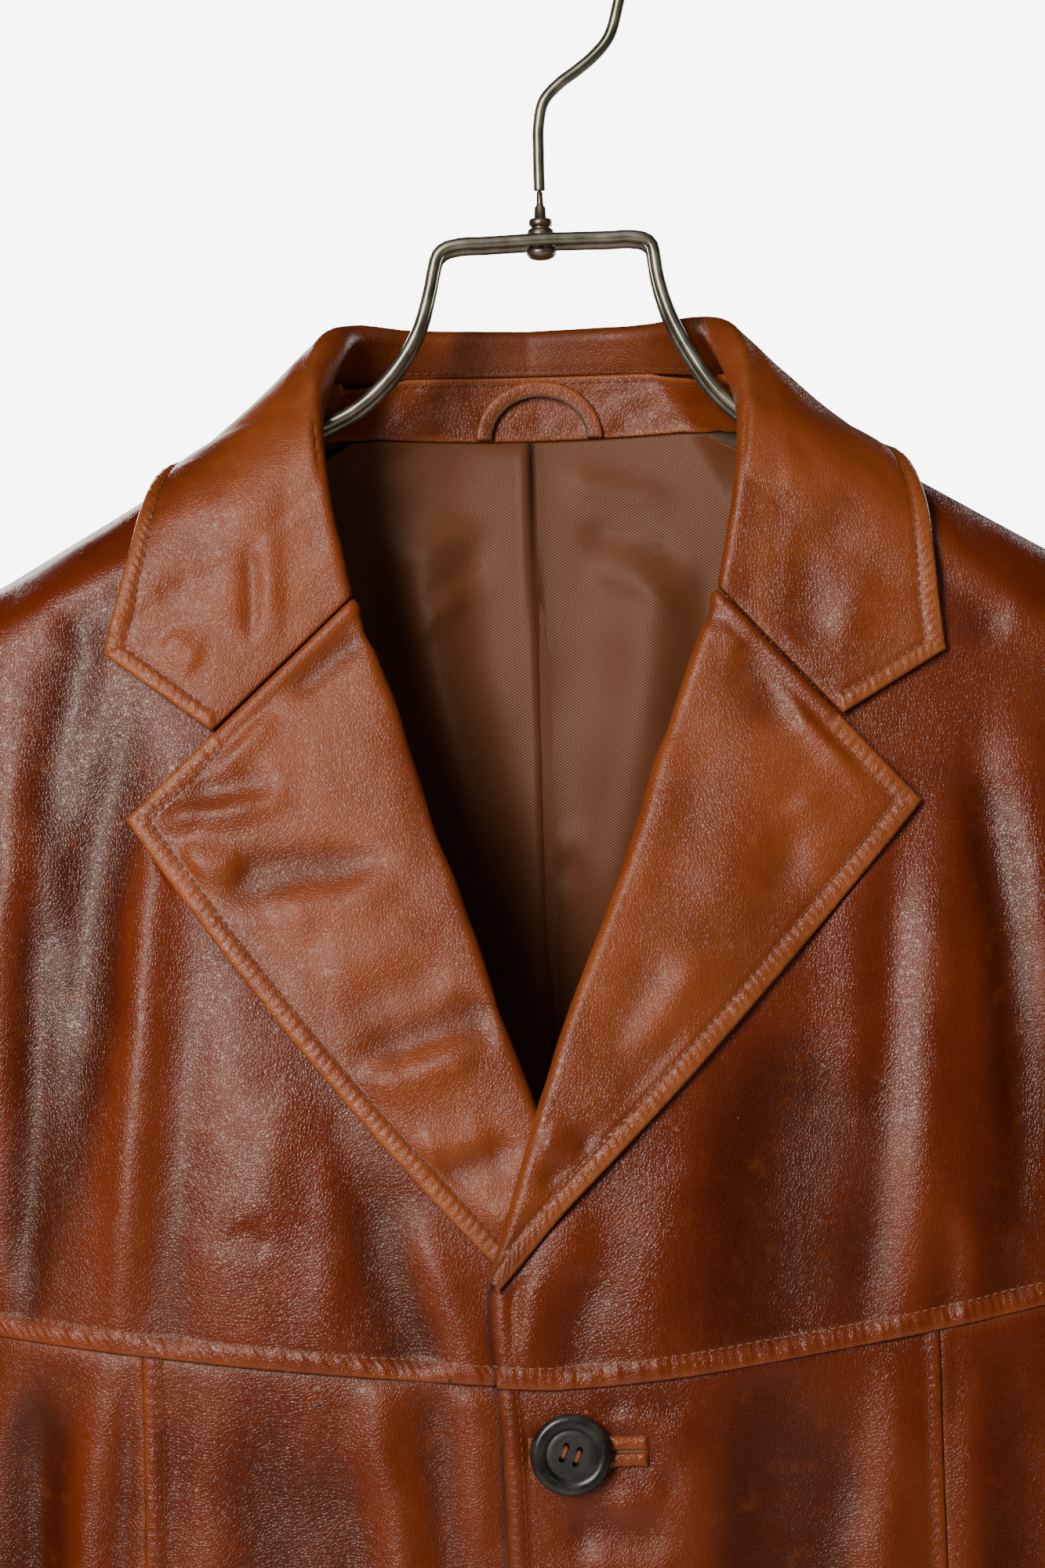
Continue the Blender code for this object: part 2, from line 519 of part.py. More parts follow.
def turned_over(base, roll, edge, rise, turn, radius, stand_cells, fall):
    """Sections that rise from a base, turn over at a roll and fall towards an edge.

    The arguments are one point, direction or radius for each row. fall holds the shares of the way
    to the edge.
    """
    rise = unit(rise)
    turn = unit(turn - (turn * rise).sum(axis=-1, keepdims=True) * rise)
    radius = radius[:, None]
    start = roll - radius * (rise + turn)
    down = edge - roll
    along = (down * turn).sum(axis=-1)
    back = -(down * rise).sum(axis=-1)
    turn_to = math.pi / 2.0 + np.arctan2(back, np.maximum(along, 0.0))
    columns = [base + (start - base) * k / stand_cells for k in range(stand_cells)]
    arc = 4
    for k in range(arc + 1):
        angle = (turn_to * k / arc)[:, None]
        last = start + radius * (np.sin(angle) * rise + (1.0 - np.cos(angle)) * turn)
        columns.append(last)
    fall_start = len(columns) - 1
    for share in fall[1:]:
        columns.append(last + (edge - last) * share)
    return np.stack(columns, axis=1), fall_start


def add_lapel(name, side, collection):
    t = np.linspace(0.0, 1.0, LAPEL_ROWS)
    roll_top, roll_end = ROLL_LINE[side][0][0], ROLL_LINE[side][-1][0]
    roll_z = roll_top + (roll_end - roll_top) * t
    roll_x = down_line(ROLL_LINE[side], roll_z)
    to_notch = unit(np.array(NOTCH[side]) - np.array([roll_x[0], roll_z[0]]))
    blend = smoothstep(t / LAPEL_TOP_TURN)[:, None]
    along_x, along_z = np.gradient(roll_x), np.gradient(roll_z)
    away = unit(np.stack([-side * along_z, side * along_x], axis=-1))
    away = unit(to_notch * (1.0 - blend) + away * blend)
    base_set = ROLL_SET - LAPEL_BASE_SEAM
    base_x, base_z = roll_x + away[:, 0] * base_set, roll_z + away[:, 1] * base_set
    reach = front_edge_x(base_z, side) - side * LAPEL_BASE_SEAM
    base_x = np.where(side * base_x > side * reach, reach, base_x)
    middle = front_y(base_x, base_z, side) + LEATHER / 2
    base = np.stack([base_x, middle, base_z], axis=-1)
    roll = np.stack([roll_x, middle - ROLL, roll_z], axis=-1)
    point, end = np.array(LAPEL_POINT[side]), np.array(LAPEL_END[side])
    edge_xz = point + (end - point) * t[:, None]
    chord = unit(end - point)
    outward = np.array([-chord[1], chord[0]]) * side
    edge_xz = edge_xz + outward * (LAPEL_BULGE[side] * 4.0 * t * (1.0 - t))[:, None]
    edge_y = front_y(edge_xz[:, 0], edge_xz[:, 1], side) - LAPEL_LEVEL[1]
    edge = np.stack([edge_xz[:, 0], edge_y, edge_xz[:, 1]], axis=-1)
    rise = np.stack([-away[:, 0], 0.0 * t, -away[:, 1]], axis=-1)
    turn = np.tile([0.0, -1.0, 0.0], (LAPEL_ROWS, 1))
    fall = np.array(LAPEL_FALL)
    points, start = turned_over(base, roll, edge, rise, turn, np.full(LAPEL_ROWS, ROLL), 1, fall)
    level = LAPEL_LEVEL[0] + (LAPEL_LEVEL[1] - LAPEL_LEVEL[0]) * fall[1:]
    points[:, start + 1:] = clear_of_body(points[:, start + 1:], level, side)
    points[0] += GORGE_GAP * np.array([side * to_notch[1], 0.0, -abs(to_notch[0])])
    sheet(name, facing_front(points[::-1], side), FACING_WALL, 0, "collar_leather", collection)


def collar_half(side):
    """Rows from the gorge to the centre back of one half of the collar."""
    knots = np.arange(len(COLLAR_BASE), dtype=float)
    front = np.linspace(0.0, COLLAR_SIDE, COLLAR_SIDE_ROWS)
    t = np.concatenate([front, np.linspace(COLLAR_SIDE, COLLAR_CENTRE, COLLAR_BACK_ROWS)[1:]])
    mirror = np.array([side, 1.0, 1.0])
    base, roll, edge, rise, turn = (
        through(knots, np.array(line), t) * mirror
        for line in (COLLAR_BASE, COLLAR_ROLL, COLLAR_EDGE, COLLAR_RISE, COLLAR_TURN)
    )
    over_neckline = back_top_z(base[:, 0]) + STAND_LIFT
    base[:, 2] = np.where(t > NECKLINE_FROM, np.maximum(base[:, 2], over_neckline), base[:, 2])
    radius = through(knots, COLLAR_ROUND, t)
    lift = through(knots, COLLAR_LIFT, t)
    near = (1.0 - smoothstep(t / POINT_REACH))[:, None]
    point = np.array([COLLAR_POINT[side][0], edge[0, 1], COLLAR_POINT[side][1]])
    edge = edge + near * (point - edge[0])
    fall = np.array(COLLAR_FALL)
    points, start = turned_over(base, roll, edge, rise, turn, radius, 2, fall)
    notch = np.array([NOTCH[side][0], 0.0, NOTCH[side][1]])
    gorge = np.array([roll[0, 0], 0.0, roll[0, 2]])
    flat_point = point * np.array([1.0, 0.0, 1.0])
    kink = notch - (gorge + (flat_point - gorge) * fall[NOTCH_FALL])
    tent = np.interp(fall, [0.0, fall[NOTCH_FALL], 1.0], [0.0, 1.0, 0.0])
    fade = 1.0 - smoothstep(t / KINK_REACH)
    hollow = through(knots, COLLAR_SAG, t)[:, None] * (4.0 * fall * (1.0 - fall))[None, :]
    points[:, start:, 2] -= hollow
    points[:, start:] += fade[:, None, None] * tent[None, :, None] * kink
    points[:, start + 1:] = clear_of_body(points[:, start + 1:], lift[:, None], side)
    points[0] += GORGE_GAP * np.array([side * GORGE_AWAY[0], 0.0, GORGE_AWAY[1]])
    return points


def add_collar(name, collection):
    left, right = collar_half(LEFT), collar_half(RIGHT)
    rows = np.concatenate([left[:-1], right[::-1]])
    sheet(name, rows[::-1], FACING_WALL, 0, "collar_leather", collection)


def inside_back(x, z, off):
    """Points this far inside the back's outer face, straight through its wall."""
    step = 0.5
    y = half_depth(x, z, True)
    slope_x = (half_depth(x + step, z, True) - half_depth(x - step, z, True)) / (2.0 * step)
    slope_z = (half_depth(x, z + step, True) - half_depth(x, z - step, True)) / (2.0 * step)
    normal = unit(np.stack([-slope_x, np.ones_like(y), -slope_z], axis=-1))
    return np.stack([x, y, z], axis=-1) - off * normal


def facing_foot_z(x):
    return FACING_LOW_Z + FACING_LOW_RISE * (x / NECK_HALF) ** 2


def add_back_neck_facing(name, collection):
    x = np.linspace(-FACING_HALF, FACING_HALF, INSIDE_COLUMNS)
    top = back_top_z(x)
    down = np.linspace(0.0, 1.0, FACING_ROWS)[:, None]
    z = top[None, :] + (facing_foot_z(x) - top)[None, :] * down
    x = np.broadcast_to(x, z.shape)
    off = LEATHER + SEAM + FACING_EASE * (np.abs(x) / FACING_HALF) ** 3
    sheet(name, inside_back(x, z, off[..., None]), FACING_THICK, -1, "collar_leather", collection)


def add_back_lining(name, collection):
    share = np.linspace(-LINING_REACH, LINING_REACH, INSIDE_COLUMNS)
    x_top = share * armhole_x(ARMPIT[1])
    shoulder = shoulder_line(x_top) - LINING_SHOULDER_DROP
    top = np.minimum(facing_foot_z(x_top) + LINING_UNDER_FACING, shoulder)
    rows = np.linspace(0.0, 1.0, LINING_ROWS)[:, None] ** LINING_SPREAD
    z = top[None, :] + (HEM_Z + LINING_HEM - top[None, :]) * rows
    grown = np.where(z < ARMPIT[1], half_width(z, True) / ARMPIT[0], 1.0)
    x = x_top[None, :] * grown
    down = (top - z) / (top - HEM_Z)
    off = (LINING_BACK_OFF + LINING_FREE * down)[..., None]
    sheet(name, inside_back(x, z, off), LINING_THICK, -1, "lining", collection)


def add_hanger_loop(name, collection):
    angles = np.radians(np.linspace(180.0, 0.0, LOOP_COLUMNS))
    height = LOOP_TOP_Z - LOOP_FOOT_Z - LOOP_WIDTH / 2
    rows = []
    for inset in (0.0, LOOP_WIDTH / 2, LOOP_WIDTH):
        half = LOOP_HALF + LOOP_WIDTH / 2 - inset
        x = LOOP_X + half * np.cos(angles)
        z = LOOP_FOOT_Z + (height + LOOP_WIDTH - inset) * np.sin(angles)
        rows.append(inside_back(x, z, LEATHER + SEAM + FACING_THICK + LOOP_GAP))
    sheet(name, np.array(rows), LOOP_THICK, -1, "collar_leather", collection)


def bezier(ends, t):
    a, b, c, d = (np.array(point) for point in ends)
    t = t[:, None]
    return (1 - t) ** 3 * a + 3 * (1 - t) ** 2 * t * b + 3 * (1 - t) * t**2 * c + t**3 * d


def cap_rings(angles, back):
    """Rings that turn from the armhole's upright plane to the bicep's level one."""
    share = np.linspace(0.0, 1.0, CAP_RINGS + 1)
    inner_x, outer_x, bicep_z = BICEP
    outer = bezier((SLEEVE_TIP, SLEEVE_HANDLE_TOP, SLEEVE_HANDLE_LOW, (outer_x, bicep_z)), share)
    turn = share * math.pi / 2.0
    start_x, start_z = ARMPIT[0] + SEAM, ARMPIT[1] + SEAM
    hinge = np.stack([start_x + (inner_x - start_x) * np.sin(turn),
                      start_z + (bicep_z - start_z) * (1.0 - np.cos(turn))], axis=-1)
    psi = np.radians(angles)
    at = (1.0 - np.cos(psi)) / 2.0
    start_half = np.where(back, ARMHOLE_BACK, ARMHOLE_FRONT)
    hole_z = armhole_z(angles)
    bulge = armhole_x(hole_z) - (SLEEVE_TIP[0] + (ARMPIT[0] - SLEEVE_TIP[0]) * at)
    rings = []
    for k, part in enumerate(share):
        line = outer[k] + (hinge[k] - outer[k]) * at[:, None]
        inwards = np.array([-np.cos(turn[k]), np.sin(turn[k])])
        flat = line - inwards * (bulge * (1.0 - smoothstep(part * CAP_EASE)))[:, None]
        half = start_half + (SLEEVE_DEPTH[0] - start_half) * smoothstep(part * CAP_DEPTH_EASE)
        y = np.where(back, 1.0, -1.0) * half * np.sin(psi)
        rings.append(np.stack([flat[:, 0], y, flat[:, 1]], axis=-1))
    return rings


def sleeve_creases(z, angle):
    """Soft troughs across the elbow, deepest at the front and inner side."""
    relief = 0.0
    for place, half, height in SLEEVE_FOLDS:
        around = 0.5 + 0.5 * np.cos(angle - SLEEVE_FOLD_TURN)
        relief = relief + height * bell(z - place, half) * around
    return relief


def arm_rings(angles, back):
    inner_x, outer_x, bicep_z = BICEP
    rings = []
    psi = np.radians(angles)
    for share in np.linspace(0.0, 1.0, SLEEVE_RINGS + 1)[1:]:
        z = bicep_z + (CUFF_Z - bicep_z) * share
        width = SLEEVE_WIDTH[0] + (SLEEVE_WIDTH[1] - SLEEVE_WIDTH[0]) * share
        half = SLEEVE_DEPTH[0] + (SLEEVE_DEPTH[1] - SLEEVE_DEPTH[0]) * share
        inner = half_width(z, False) + SLEEVE_BODY_GAP
        relief = sleeve_creases(z, np.where(back, -psi, psi))
        x = inner + width / 2 + (width / 2 + relief) * np.cos(psi)
        forward = SLEEVE_FORWARD * share**SLEEVE_FORWARD_CURVE
        y = np.where(back, 1.0, -1.0) * (half + relief) * np.sin(psi) - forward
        rings.append(np.stack([x, y, z + 0.0 * x], axis=-1))
    return rings


def add_sleeve(name, side, collection):
    front = list(FRONT_ANGLES) + [YOKE_ANGLE[side]] + list(UNDERARM_ANGLES[:-1])
    angles = np.array(front + [180] + list(BACK_ANGLES[1:-1])[::-1] + [0], float)
    back = np.arange(len(angles)) >= len(front)
    rings = np.array(cap_rings(angles, back) + arm_rings(angles, back))
    rings[0, :, 0] += ARMHOLE_SEAM
    rings[:, -1] = rings[:, 0]
    rings[..., 0] *= side
    rows = rings[::-1]
    sheet(name, rows if side == LEFT else rows[:, ::-1], LEATHER, -1, "leather", collection, closed=True)


def turned(name, profile, steps, material_name, collection):
    """A profile of (radius, height) points in millimetres, turned about Z."""
    data = bpy.data.meshes.new(name)
    shape = bmesh.new()
    verts = [shape.verts.new((r * METRES, 0.0, z * METRES)) for r, z in profile]
    for first, second in zip(verts, verts[1:]):
        shape.edges.new((first, second))
    shape.to_mesh(data)
    shape.free()
    made = add_object(name, data, material_name, collection)
    screw = made.modifiers.new("turn", "SCREW")
    screw.steps = screw.render_steps = steps
    screw.use_merge_vertices = True
    screw.merge_threshold = 0.00001
    return made


def button_hole_cutter(collection):
    data = bpy.data.meshes.new("button_hole_cutter")
    shape = bmesh.new()
    radius = BUTTON_HOLE_RADIUS * METRES
    for x in (-1, 1):
        for y in (-1, 1):
            made = bmesh.ops.create_cone(shape, cap_ends=True, segments=8, depth=BUTTON_HOLE_CUT * METRES,
                                         radius1=radius, radius2=radius)
            place = (x * BUTTON_HOLE_SPREAD * METRES, y * BUTTON_HOLE_SPREAD * METRES, 0.0)
            bmesh.ops.translate(shape, verts=made["verts"], vec=place)
    shape.to_mesh(data)
    shape.free()
    cutter = bpy.data.objects.new("button_hole_cutter", data)
    cutter.hide_render = True
    cutter.display_type = "WIRE"
    collection.objects.link(cutter)
    return cutter


def add_button(name, collection, cutters):
    z = BUTTON_Z[name]
    y = float(front_y(np.array(BUTTON_X), np.array(z), LEFT)) - BUTTON_GAP
    made = turned(name, BUTTON_PROFILE, BUTTON_STEPS, "button", collection)
    made.location = ((BUTTON_X + COAT_X) * METRES, y * METRES, z * METRES)
    made.rotation_euler = (math.pi / 2, math.radians(BUTTON_TURN), 0.0)
    cutter = button_hole_cutter(cutters)
    cutter.name = name + "_holes"
    cutter.parent = made
    holes = made.modifiers.new("holes", "BOOLEAN")
    holes.operation = "DIFFERENCE"
    holes.object = cutter


def wire(name, points, radius, cyclic, material_name, collection):
    """A round wire through points in millimetres, already in the hanger's own frame."""
    data = bpy.data.curves.new(name, "CURVE")
    data.dimensions = "3D"
    data.bevel_depth = radius * METRES
    data.bevel_resolution = 2
    data.use_fill_caps = not cyclic
    spline = data.splines.new("POLY")
    spline.points.add(len(points) - 1)
    for point, place in zip(spline.points, points):
        point.co = (place[0] * METRES, place[1] * METRES, place[2] * METRES, 1.0)
    spline.use_cyclic_u = cyclic
    return add_object(name, data, material_name, collection)


def add_hook(name, collection):
    angles = np.radians(np.linspace(HOOK_START_ANGLE, HOOK_END_ANGLE, HOOK_STEPS))
    centre_z = -(HOOK_RADIUS - HOOK_WIRE)
    ring = np.stack([HOOK_RADIUS * np.cos(angles), centre_z + HOOK_RADIUS * np.sin(angles)], axis=-1)
    route = np.concatenate([np.array(HOOK_SHAFT), ring])
    knots = np.concatenate([[0.0], np.cumsum(np.linalg.norm(np.diff(route, axis=0), axis=1))])
    smooth = through(knots, route, np.linspace(0.0, knots[-1], HOOK_POINTS))
    points = np.stack([smooth[:, 0], 0.0 * smooth[:, 0], smooth[:, 1]], axis=-1)
    wire(name, points, HOOK_WIRE, False, "hanger_metal", collection)


def wire_seat_z(x, y):
    """Height at which the frame's wire carries the shoulder from inside."""
    coat_x = x - COAT_X
    wall = LEATHER + FRAME_WIRE + SEAM
    level = ridge(coat_x) - SHOULDER_ROUND
    across = half_depth(coat_x, level, False) - wall
    return level + (SHOULDER_ROUND - wall) * np.sqrt(np.maximum(1.0 - (y / across) ** 2, 0.0)) - WIRE_SET


def frame_side(side):
    """The front wire from the middle of the bar to the end of one shoulder."""
    neck = np.array(NECK_WIRE[side], float)
    seat_x = np.array(WIRE_ON_SHOULDER) * side
    half = np.interp(np.abs(seat_x), *np.array(WIRE_HALF_DEPTH).T)
    seat_z = wire_seat_z(seat_x, half)
    route = np.concatenate([neck, np.stack([seat_x, seat_z], axis=-1)])
    spread = (FRAME_BAR_HALF_DEPTH, FRAME_NECK_HALF_DEPTH)
    neck_half = np.interp(-neck[:, 1], (NECK_WIRE_TOP, NECK_WIRE_LOW), spread)
    halves = np.concatenate([neck_half, half])
    line = np.stack([route[:, 0], -halves, route[:, 1]], axis=-1)
    knots = np.concatenate([[0.0], np.cumsum(np.linalg.norm(np.diff(line, axis=0), axis=1))])
    halfway = (knots[1:-6] + knots[2:-5]) / 2.0
    smooth = through(knots, line, np.sort(np.concatenate([knots, halfway])))
    end_half = half[-1]
    turn = np.radians(np.array(WIRE_END_TURN))
    end_x = np.abs(seat_x[-1]) + (WIRE_END_X - np.abs(seat_x[-1])) * np.sin(turn)
    end_z = seat_z[-1] - SHOULDER_SLOPE * (end_x - np.abs(seat_x[-1])) - WIRE_END_DROP * np.sin(turn)
    end = np.stack([side * end_x, -end_half * np.cos(turn), end_z], axis=-1)
    return np.concatenate([smooth, end])


def add_frame(name, collection):
    mirror = np.array([1.0, -1.0, 1.0])
    left, right = frame_side(LEFT), frame_side(RIGHT)
    front = np.concatenate([right[::-1], left[1:]])
    back = front[::-1][1:-1] * mirror
    wire(name, np.concatenate([front, back]), FRAME_WIRE, True, "hanger_metal", collection)


def clear_scene():
    for old in list(bpy.data.objects):
        bpy.data.objects.remove(old, do_unlink=True)


def new_collection(name):
    made = bpy.data.collections.new(name)
    bpy.context.scene.collection.children.link(made)
    return made


def main():
    clear_scene()
    coat = new_collection("leather_coat_on_hanger")
    cutters = new_collection("cutters")
    for side, word in ((LEFT, "left"), (RIGHT, "right")):
        add_front_yoke("front_yoke_" + word, side, coat)
        add_front_panel("front_panel_" + word, side, coat)
        add_side_panel("side_panel_" + word, side, coat)
        add_sleeve("sleeve_" + word, side, coat)
        add_lapel("lapel_" + word, side, coat)
    add_back("back", coat)
    add_collar("collar", coat)
    add_back_neck_facing("back_neck_facing", coat)
    add_back_lining("back_lining", coat)
    add_hanger_loop("hanger_loop", coat)
    for name in BUTTON_Z:
        add_button(name, coat, cutters)
    add_hook("hanger_hook", coat)
    add_frame("hanger_frame", coat)
    swivel = turned("hanger_swivel", SWIVEL_PROFILE, SWIVEL_STEPS, "hanger_metal", coat)
    swivel.location = (SWIVEL_X * METRES, 0.0, 0.0)


main()
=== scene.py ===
import math

import bmesh
import bpy
import numpy as np
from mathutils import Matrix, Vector


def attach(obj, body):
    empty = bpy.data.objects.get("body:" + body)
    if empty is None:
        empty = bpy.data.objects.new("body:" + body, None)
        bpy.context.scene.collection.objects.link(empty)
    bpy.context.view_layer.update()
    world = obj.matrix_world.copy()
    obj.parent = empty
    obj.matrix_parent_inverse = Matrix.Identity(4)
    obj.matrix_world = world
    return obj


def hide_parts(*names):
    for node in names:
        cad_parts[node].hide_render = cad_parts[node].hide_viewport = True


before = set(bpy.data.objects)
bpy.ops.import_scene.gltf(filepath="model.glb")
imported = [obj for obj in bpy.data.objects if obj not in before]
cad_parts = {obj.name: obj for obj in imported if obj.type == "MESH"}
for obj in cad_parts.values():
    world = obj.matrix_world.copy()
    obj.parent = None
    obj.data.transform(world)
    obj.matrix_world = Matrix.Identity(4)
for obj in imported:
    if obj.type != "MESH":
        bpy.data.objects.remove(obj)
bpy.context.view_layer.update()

# The looks of a worn leather coat that hangs on a double wire hanger.
# Every shell follows the form of the solid that it replaces, from the same sizes in millimetres.
# Left and right are the wearer's: the left side is at +X, and the left front lies on top.

METRES = 0.001
LEFT, RIGHT = 1, -1
SIDES = ((LEFT, "left"), (RIGHT, "right"))

# The whole coat, measured from its own plane of symmetry
COAT_X = -6.7  # that plane's place under the hook
HEM_Z = -947.0
LEATHER = 1.8
LAYER_GAP = 0.4  # between a layer and the one that it lies on
SEWN = -0.3  # the gap of a panel seam: below nought, so that no light shows between its edges
SEWN_EACH = SEWN / 2

# Shoulder and neck
SHOULDER_POINT = (121.3, -185.2)
SHOULDER_SLOPE = 0.575
NECK_HALF = 66.0
NECK_RISE = 1.2
NECK_BACK_Z = -146.6
NECK_DROP, NECK_CURVE = 6.8, 6.0
SHOULDER_ROUND = 38.0

# Girth
ROUNDNESS = 2.8
ARMPIT = (200.0, -480.0)
HEM_FLARE = 22.0
TOP_Z = -150.0
CHEST_RUN = 300.0
FRONT_DEPTH = (26.0, 38.0)
BACK_DEPTH = (28.0, 34.0)
NECK_DEPTH = 12.0
NECK_DEPTH_HALF, NECK_DEPTH_RUN = 75.0, 150.0

# Armhole
ARMHOLE_TIP_Z = -243.1
ARMHOLE_SHARES = (0.0, 0.2, 0.5, 0.8, 1.0)
ARMHOLE_X = (222.0, 202.0, 189.0, 191.0, 200.0)
ARMHOLE_FRONT, ARMHOLE_BACK = 36.0, 40.0
YOKE_ANGLE = {LEFT: 129.01, RIGHT: 133.66}
YOKE_ROW_Z = (-153.4, -206.0, -304.0, -387.0, -462.0)
YOKE_ROW_ANGLE = (0.0, 46.0, 70.0, 94.0, 1.0)  # the last as a share of the side's own angle

# Seams of the front
YOKE_MID_Z, YOKE_HALF = -463.0, 155.0
YOKE_RISE = {LEFT: 20.0, RIGHT: 15.0}
YOKE_CURVE = {LEFT: 1.4, RIGHT: 1.25}
SIDE_SEAM_X = {LEFT: 117.2, RIGHT: -125.7}

# Front edges, neck edge and roll lines, read downwards
NECK_EDGE = ((-153.4, 66.0), (-162.0, 68.4), (-175.0, 69.2), (-189.0, 67.6), (-205.0, 64.4), (-217.0, 61.9))
ROLL_LINE = {
    LEFT: ((-221.0, 57.5), (-240.0, 50.2), (-269.0, 39.4), (-300.0, 28.7), (-326.0, 18.3), (-350.0, 8.0),
           (-371.0, 0.3), (-385.0, -4.1), (-413.0, -12.8), (-424.4, -16.6)),
    RIGHT: ((-221.0, -57.5), (-242.0, -49.8), (-267.0, -40.5), (-298.0, -31.5), (-325.0, -22.5),
            (-354.0, -13.7), (-381.0, -4.1), (-416.0, 8.0), (-452.0, 20.0)),
}
FRONT_EDGE = {
    LEFT: ((-424.4, -17.6), (-436.0, -19.4), (-450.0, -19.4), (-463.0, -17.8), (-488.0, -16.4),
           (-517.0, -15.8), (-600.0, -14.6), (-947.0, -14.0)),
    RIGHT: ((-424.4, 21.0), (-947.0, 21.0)),
}
LAPEL_TAIL = {LEFT: ((-430.0, -19.0),), RIGHT: ()}  # how the roll line ends on the front edge
ROLL, ROLL_SET = 1.9, 3.7
OVERLAP_LIFT = (6.2, 4.2)
OVERLAP_FULL_X, OVERLAP_END_X = 30.0, 95.0
OVERLAP_Z = -424.0  # from here down, the left front's edge lies on the right front
OVERLAP_START, OVERLAP_THIN = (-250.0, 110.0), (-470.0, 60.0)  # heights where it changes, and over what run

# Collar and lapels
NOTCH = {LEFT: (93.5, -260.4), RIGHT: (-100.5, -260.9)}
LAPEL_POINT = {LEFT: (118.1, -288.0), RIGHT: (-128.6, -287.6)}
LAPEL_END = {LEFT: (-14.6, -427.0), RIGHT: (13.0, -456.5)}
LAPEL_END_TURN = {LEFT: (-2.8, -6.0), RIGHT: (0.0, 0.0)}  # the end curls down into the front edge
LAPEL_BULGE = {LEFT: 2.5, RIGHT: 5.5}
COLLAR_POINT = {LEFT: (127.3, -241.6), RIGHT: (-134.5, -236.5)}
FACING_WALL = 2.2
GORGE_GAP = 0.3
LAPEL_BASE_SEAM = 0.8
LAPEL_LEVEL = (2.9, 2.1)
COLLAR_BASE = ((59.4, -30.6, -223.1), (62.0, -28.4, -207.1), (65.0, -26.5, -189.1), (66.5, -18.1, -168.3),
               (64.8, 0.0, -150.8), (58.7, 21.0, -149.4), (33.4, 36.6, -145.9), (0.0, 38.6, -145.7))
COLLAR_ROLL = ((57.5, -32.1, -221.0), (61.0, -31.0, -205.0), (64.6, -28.2, -184.0), (66.6, -16.5, -158.6),
               (63.5, 1.0, -136.6), (56.0, 17.5, -130.6), (34.0, 34.5, -130.9), (0.0, 40.0, -131.3))
COLLAR_EDGE = ((127.3, -31.0, -241.6), (126.2, -31.0, -229.0), (124.8, -28.0, -213.0), (123.0, -20.0, -197.0),
               (116.2, 2.0, -180.6), (107.0, 28.0, -191.0), (66.0, 44.0, -198.0), (0.0, 46.0, -193.0))
COLLAR_RISE = ((-0.674, 0.0, 0.738), (-0.88, 0.0, 0.47), (-0.78, 0.1, 0.62), (-0.45, 0.1, 0.89),
               (-0.2, 0.05, 0.98), (-0.1, 0.0, 1.0), (0.0, 0.0, 1.0), (0.0, 0.0, 1.0))
COLLAR_TURN = ((0.0, -1.0, 0.0), (0.0, -1.0, 0.0), (0.15, -1.0, 0.1), (0.5, -0.8, 0.3),
               (1.0, -0.1, 0.2), (0.75, 0.65, 0.0), (0.3, 0.95, 0.0), (0.0, 1.0, 0.0))
COLLAR_ROUND = (1.9, 1.9, 2.1, 3.2, 4.6, 4.0, 3.0, 2.7)
STAND_LIFT = 0.8
COLLAR_SAG = (0.0, 0.2, 0.4, 1.0, 1.6, 1.2, 0.6, 0.0)
COLLAR_LIFT = (2.1, 2.4, 3.2, 4.2, 4.4, 4.0, 3.4, 3.2)
COLLAR_NOTCH_FALL = 0.58  # where the notch lies on the way from roll to edge

# Inside the back neck
FACING_LOW_Z, FACING_LOW_RISE, FACING_HALF = -167.2, 2.4, 70.0
FACING_EASE = 0.8
FACING_RISE = (0.7, 1.8)  # its top edge covers the seam under the collar's stand
FACING_THICK, LINING_THICK = 1.4, 1.0
LINING_BACK_OFF, LINING_FREE = 4.0, 6.0
LINING_REACH = 0.86
LINING_SHOULDER_DROP = 15.0
LINING_UNDER_FACING = -0.4
LINING_HEM = 22.0
LOOP_X, LOOP_TOP_Z, LOOP_FOOT_Z = 3.2, -150.0, -166.5
LOOP_HALF, LOOP_WIDTH, LOOP_THICK, LOOP_GAP = 18.6, 5.4, 2.4, 0.4

# Sleeves
SLEEVE_TIP = (222.0, -243.1)
SLEEVE_HANDLE_TOP, SLEEVE_HANDLE_LOW = (257.0, -262.0), (307.0, -370.0)
BICEP = (208.0, 308.0, -500.0)
SLEEVE_BODY_GAP = 8.0
CUFF_Z = -853.0
SLEEVE_WIDTH = (100.0, 84.0)
SLEEVE_DEPTH = (57.0, 47.0)
SLEEVE_FORWARD = 26.0

# Soft folds of the body, as x at the hem, half width and height
FRONT_FOLDS = ((-152.0, 22.0, 6.0), (-106.0, 22.0, -7.0), (-60.0, 24.0, 6.0),
               (62.0, 24.0, 6.0), (108.0, 22.0, -7.0), (154.0, 22.0, 6.0))
BACK_FOLDS = ((-142.0, 26.0, 7.0), (-94.0, 24.0, -7.0), (-46.0, 24.0, 6.0), (2.0, 24.0, -6.0),
              (50.0, 24.0, 7.0), (98.0, 24.0, -7.0), (146.0, 26.0, 6.0))
FOLD_TOP_X = 0.82
SLEEVE_FOLDS = ((-612.0, 16.0, -5.0), (-655.0, 16.0, -6.5), (-700.0, 18.0, -4.5))

